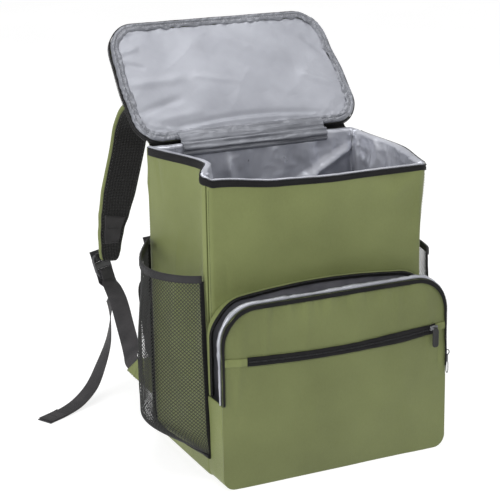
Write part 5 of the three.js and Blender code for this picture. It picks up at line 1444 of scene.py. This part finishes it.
# One strap: its pad, ladder lock, loop, anchor tab and webbing, with the hem at the webbing's free end
def makeStrap(side):
    look = straps[side]
    hand = look["hand"]
    origin, padAcross, padOut, padAlong = makePad(side)
    across, behind = heading(look["turn"]), heading(look["turn"] + 90)
    centre = origin + behind * lock["behind"] - toTop * lock["below"]
    tipped = np.radians(lock["lean"])
    down = -toTop * np.cos(tipped) - behind * np.sin(tipped)
    out = np.cross(across, down)

    def at(below, outward):
        return centre + down * below + out * outward

    # Ladder lock: a rounded frame, a middle bar, two end bars and a ridged thumb tab
    rail = lock["rail"]
    section = padSection(rail, lock["thick"], 1.5, 4)
    addFrame("ladder_frame_" + side, centre, across, down, out, lock["wide"] - rail, lock["long"] - rail,
             lock["corner"] - rail / 2, section, lockGrey, replaced=["ladder_lock_" + side])
    reach = np.linspace(-1, 1, 25)[:, None] * (lock["wide"] / 2 - 2.5)
    rings = ringsOf(centre + across * reach, down, out, padSection(lock["barWide"], lock["thick"] - 0.5, 1.6, 4))
    addBar("ladder_bar_" + side, rings, lockGrey, slot="hard_plastic")
    for place, end in ((-1, "top"), (1, "foot")):
        spine = at(place * (lock["long"] / 2 - 4.4), 0) + across * reach
        rings = ringsOf(spine, down, out, padSection(lock["endWide"], lock["thick"] + 2.2, 3.1, 5))
        rings = spine[:, None] + (rings - spine[:, None]) * (1 - 0.5 * np.linspace(-1, 1, 25) ** 6)[:, None, None]
        addBar("ladder_end_" + end + "_" + side, rings, lockGrey, slot="hard_plastic")
    share, column = gridOf(edged(0, 1, 24, 0.02), edged(-1, 1, 30, 0.02))
    half = lock["tab"] * (1 - 0.35 * share ** 2)
    tabOut = 2.6 + 2.0 * share ** 1.5 + 0.35 * np.cos(share * 2 * np.pi * 3.5) * (share > 0.3)
    spine = centre + down * (lock["long"] / 2 - 4 + 8 * share)[..., None] + across * (half * column)[..., None]
    addShell("ladder_tab_" + side, spine + out * tabOut[..., None],
             spine + out * (tabOut - lock["tabThick"])[..., None], lockGrey, 1.1, slot="hard_plastic")

    web = padSection(strap["web"], strap["webThick"], 0.55, 3)
    passing = lock["thick"] / 2 + 2.5 * gap + strap["webThick"]
    slot = (lock["bar"] + lock["slot"]) / 2

    def throughSlot(turn):
        return [at(turn * (slot + 10), -passing), at(turn * (slot + 2.5), gap - passing), at(turn * slot, 0),
                at(turn * (slot + 2.5), passing - gap), at(turn * (slot + 10), passing)]

    lift = strap["foam"] / 2 + 4 * gap + strap["webThick"]
    onPad = [origin - padAlong * above + padOut * lift for above in (22, 12)]
    loop = onPad + throughSlot(-1) + [at(-slot - 16, passing + gap)]
    legs = len(loop) - 1

    def loopAcross(share):
        blend = ease(share * legs - 0.9)[:, None]
        return mix(padAcross, across, blend)

    points, wide, thick, _ = framesAlong(loop, loopAcross, 16 * legs + 1)
    addBar("lock_loop_web_" + side, ringsOf(points, wide, thick, web), webBlack, replaced=["lock_loop_" + side])

    # Anchor tab: a cloth triangle from the corner seam to the webbing
    corner = planAt(np.array(look["corner"]), np.array(-gap))[0]
    tip = np.array([hand * (halfWidth + anchor["out"]), halfDepth + anchor["behind"], anchor["height"]])
    reachOut = unit(tip - [corner[0], corner[1], anchor["height"]])
    tabFace = np.array([hand * reachOut[1], -hand * reachOut[0], 0])
    tipAcross = unit(toTop - reachOut)
    share, high = gridOf(edged(0, 1, 40, 0.02), edged(0, 1, 40, 0.02))
    root = pointsAt(corner[0], corner[1], mix(anchor["low"], anchor["high"], high))
    tipEnd = tip + tipAcross * ((high - 0.5) * strap["web"])[..., None]
    middle = mix(root, tipEnd, share[..., None])
    fold = 0.9 * np.exp(-((high - 0.45 - 0.2 * share) / 0.2) ** 2) * (1 - share)
    soft = np.clip(0.35 * softCloud(middle, (12, 12, 12), 141) + fold, -0.5, 1.2)
    soft = soft * ease(share * 6) * ease((1 - share) * 4)
    raised = middle + tabFace * (anchor["thick"] + soft)[..., None]
    addShell("anchor_tab_cloth_" + side, raised, middle, green, 0.9, replaced=["anchor_tab_" + side])
    along, upwards = share.shape
    paths = ([raised[2:-2, int(level * (upwards - 1))] for level in (0.05, 0.95)]
             + [raised[int(reach * (along - 1)), 2:-2] for reach in (0.72, 0.93)])
    lines = [(path + tabFace * 0.05, tabFace) for path in paths]
    addStitches("anchor_stitches_" + side, lines, greenThread, slot="green_fabric")

    # Webbing from the tab up to the lock, through it, and its free end down
    ahead = unit(toTop + reachOut)
    seat = 2 * gap + strap["webThick"] / 2
    onTab = [tip + ahead * far - tabFace * (seat + off)
             for far, off in ((-14, 0), (-5.6, gap / 2), (4.2, strap["webThick"]))]
    rest = strap["webThick"] / 2 + gap
    points = (onTab + [strapPoint(row) for row in look["web"]] + [at(slot + 20, -passing)] + throughSlot(1)
              + [at(slot + 20, passing + gap)] + [strapPoint(row, rest) for row in look["tail"]])
    headings = ([tipAcross] * 3 + [heading(row[3], row[4]) for row in look["web"]] + [across] * 7
                + [heading(row[3]) for row in look["tail"]])
    points, wide, thick, _ = framesAlong(points, blendAcross(headings), 14 * (len(points) - 1) + 1)
    wave = 1 + 0.012 * cloudNoise(points, (30, 30, 30), 151)
    addBar("webbing_cloth_" + side, ringsOf(points, wide, thick, web[None] * wave[:, None, None]), webBlack,
           replaced=["webbing_" + side])
    # The hem: the last stretch of the webbing folded back on itself
    hem = slice(-16, -1)
    facing = np.sign(thick[-1] @ toTop) or 1.0
    folded = points[hem] + thick[hem] * facing * (strap["webThick"] + 0.15)
    rings = ringsOf(folded, wide[hem], thick[hem], web * [0.99, 1])
    addBar("webbing_hem_" + side, rings, webBlack, slot="black_tape")
    lines = []
    for row in (-14, -8):
        path = points[row] + wide[row] * np.linspace(-10.5, 10.5, 12)[:, None]
        lines.append((path + thick[row] * facing * (strap["webThick"] * 1.5 + 0.2), thick[row] * facing))
    addStitches("webbing_hem_stitches_" + side, lines, blackThread, pitch=2.6, length=1.9, slot="black_tape")


for side in straps:
    makeStrap(side)
print("straps made")


# --- zip sliders ---

slider = {"long": 11, "wide": 8, "high": 4, "bridge": 3.4, "bridgeRise": 1.9, "pullWide": 8.8, "pullThick": 2.2,
          "pullTop": 6.2,
          "pullLong": 26.2, "ring": (2.9, 3.3), "clip": 9.0, "wire": (1.5, 8.0)}


# A slider: a waisted crown over two wings, with a bridge for the pull, on a face with its own directions
def makeSlider(name, place, along, facing, replaced):
    side = np.cross(along, facing)
    share, column = gridOf(edged(-1, 1, 26, 0.02), edged(-1, 1, 22, 0.02))
    half = slider["wide"] / 2 * (0.72 + 0.28 * ease((share + 1) * 0.8)) * (1 - 0.12 * ease((share - 0.5) * 2))
    crown = slider["high"] * (0.8 + 0.2 * (1 - column ** 2)) * (1 - 0.2 * share ** 4)
    spine = place + along * (share * slider["long"] / 2)[..., None] + side * (half * column)[..., None]
    addShell(name + "_slider_body", spine + facing * crown[..., None], spine + facing * 0.1, sliderMetal, 1.0,
             replaced=[replaced])
    turn = np.linspace(-0.1, np.pi + 0.1, 22)
    rise = slider["high"] - 0.6 + slider["bridgeRise"] * np.sin(turn)
    bridge = place + along * (-np.cos(turn) * slider["bridge"])[:, None] + facing * rise[:, None]
    slope = unit(np.gradient(bridge, axis=0))
    rings = ringsOf(bridge, side, np.cross(side, slope), padSection(2.6, 1.0, 0.45, 3))
    addBar(name + "_slider_bridge", rings, sliderMetal, slot="slider_metal")


# The small zip's slider with its pull, and the pocket zip's slider with a ring, a clip and a wire pull
def makeSliders():
    lift = 3 * gap + bag["tape"]
    x = pocket["zipTo"] - 0.36 * slider["long"]
    base = faceAt(np.array(x), np.array(float(pocket["zipHeight"])), np.array(lift))
    makeSlider("small_zip", base, toRight, toFront, "small_zip_slider")
    # The pull hangs from the bridge: a flat tab, narrow at its eye and rounded at its foot
    share, column = gridOf(edged(0, 1, 40, 0.01), edged(-1, 1, 16, 0.03))
    rounded = np.sqrt(np.clip(1 - ((share - 0.86) / 0.145).clip(0) ** 2, 0.02, 1))
    half = slider["pullWide"] / 2 * mix(0.55, 1.0, ease(share * 5)) * rounded
    eye = base + toRight * 0.5 - toTop * 4.5 + toFront * (slider["high"] + 0.9)
    hung = toTop * (slider["pullTop"] - slider["pullLong"] * share)[..., None]
    spine = eye + hung + toRight * (half * column)[..., None]
    dip = 0.45 * np.exp(-((share - 0.55) / 0.3) ** 4) * (np.abs(column) < 0.62)
    body = 0.5 * slider["pullThick"] * (0.75 + 0.25 * ease(share * 3)) - dip
    addShell("small_zip_pull_tab", spine + toFront * (body + 0.9)[..., None], spine - toFront * (body - 0.9)[..., None],
             pullGrey, 0.8, replaced=["small_zip_pull"])

    base = np.array([pocketHalf + gap, pocketFront + pocket["face"] + slider["wide"],
                     pocket["zipEnd"] + slider["long"] / 2 + gap])
    makeSlider("pocket_zip", base, toTop, toRight, "pocket_zip_slider")
    ring = np.linspace(0, 2 * np.pi, 40, endpoint=False)
    centre = np.array([pocketHalf + 0.6, pocketFront - 2.6, 130.0])
    ringWide, ringHigh = slider["ring"]
    line = centre + toTop * (ringHigh * np.sin(ring))[:, None] + toRight * (ringWide * np.cos(ring))[:, None]
    facing = unit(line - centre)
    rings = ringsOf(line, facing, toFront, roundSection(0.7))
    addBar("pocket_zip_ring", rings, sliderMetal, wrapped=True, slot="slider_metal")
    clip = np.stack([centre - toTop * (3.0 + slider["clip"] * share) for share in np.linspace(0, 1, 12)])
    rings = ringsOf(clip, toRight, toFront, padSection(2.6, 1.8, 0.7, 3))
    addBar("pocket_zip_clip", rings, sliderMetal, slot="slider_metal")
    turn = np.linspace(0, 2 * np.pi, 48, endpoint=False)
    wireWide, wireHigh = slider["wire"]
    upright = wireHigh * np.sign(np.sin(turn)) * np.abs(np.sin(turn)) ** 0.55
    line = centre - toTop * 20.0 + toRight * (wireWide * np.cos(turn))[:, None] + toTop * upright[:, None]
    slope = unit(np.roll(line, -1, axis=0) - np.roll(line, 1, axis=0))
    rings = ringsOf(line, np.cross(slope, toFront), toFront, roundSection(0.62))
    addBar("pocket_zip_pull_wire", rings, sliderMetal, wrapped=True, replaced=["pocket_zip_pull"])


makeSliders()
print("sliders made")


# --- camera, floor and light ---

cameraLook = {"aim": (-0.052, 0.0, 0.259), "yaw": -25.0, "pitch": 16.0, "roll": -1.0, "distance": 2.0, "lens": 112.1}


# Places a camera or a light: its right, up and backward directions and its place
def standAt(thing, right, up, back, place):
    columns = np.eye(4)
    columns[:3] = np.stack([right, up, back, place], axis=-1)
    thing.matrix_world = Matrix(columns.tolist())


# The camera looks at the aim from a distance, turned by yaw about the upright axis, then by pitch and roll
def makeCamera():
    camera = bpy.data.objects.new("camera", bpy.data.cameras.new("camera"))
    bpy.context.collection.objects.link(camera)
    yaw, pitch, roll = (np.radians(cameraLook[key]) for key in ("yaw", "pitch", "roll"))
    back = np.array([np.sin(yaw) * np.cos(pitch), -np.cos(yaw) * np.cos(pitch), np.sin(pitch)])
    right = unit(np.cross(-back, [0, 0, 1.0]))
    up = np.cross(right, -back)
    tiltedRight = np.cos(roll) * right + np.sin(roll) * up
    tiltedUp = -np.sin(roll) * right + np.cos(roll) * up
    standAt(camera, tiltedRight, tiltedUp, back, np.array(cameraLook["aim"]) + back * cameraLook["distance"])
    camera.data.lens = cameraLook["lens"]
    camera.data.sensor_width = 36
    bpy.context.scene.camera = camera


lightLook = {
    "left": {"at": (-2.7, -1.3, 0.95), "size": 1.5, "watts": 52},
    "front": {"at": (0.9, -2.6, 1.9), "size": 1.6, "watts": 3},
    "top": {"at": (0.0, 0.1, 2.4), "size": 1.8, "watts": 31},
    "right": {"at": (2.5, -0.9, 1.2), "size": 1.4, "watts": 12},
    "target": (0, 0, 0.25), "world": 0.52, "floorHalf": 15, "floorTones": (0.32, 0.35), "floorGlow": 0.8,
}


# Four square lamps, an even light from all round and a pale floor that glows a little
def makeStudio():
    for name in ("left", "front", "top", "right"):
        look = lightLook[name]
        lamp = bpy.data.lights.new(name, "AREA")
        lamp.shape = "SQUARE"
        lamp.size = look["size"]
        lamp.energy = look["watts"]
        light = bpy.data.objects.new(name, lamp)
        bpy.context.collection.objects.link(light)
        back = unit(np.array(look["at"]) - lightLook["target"])
        right = unit(np.cross([0, 0, 1.0] if abs(back[2]) < 0.99 else [0, 1.0, 0], back))
        standAt(light, right, np.cross(back, right), back, look["at"])
    world = bpy.data.worlds.new("studio")
    world.use_nodes = True
    world.node_tree.nodes["Background"].inputs["Color"].default_value = (1, 1, 1, 1)
    world.node_tree.nodes["Background"].inputs["Strength"].default_value = lightLook["world"]
    bpy.context.scene.world = world
    bpy.context.scene.view_settings.view_transform = "Standard"
    floorMaterial, floorTree, floorShader = startMaterial("paleFloor", 0.9, specular=0.1)
    place = addNode(floorTree, "ShaderNodeTexCoord").outputs["Object"]
    shade = tint(floorTree, noise(floorTree, place, 2, 2), *((tone, tone, tone, 1) for tone in lightLook["floorTones"]))
    floorTree.links.new(shade, floorShader.inputs["Base Color"])
    floorShader.inputs["Emission Color"].default_value = (1, 1, 1, 1)
    floorShader.inputs["Emission Strength"].default_value = lightLook["floorGlow"]
    floor = bpy.data.objects.new("floor", bpy.data.meshes.new("floor"))
    half = lightLook["floorHalf"]
    floor.data.from_pydata([(-half, -half, 0), (half, -half, 0), (half, half, 0), (-half, half, 0)], [], [(0, 1, 2, 3)])
    floor.data.materials.append(floorMaterial)
    bpy.context.collection.objects.link(floor)


makeCamera()
makeStudio()
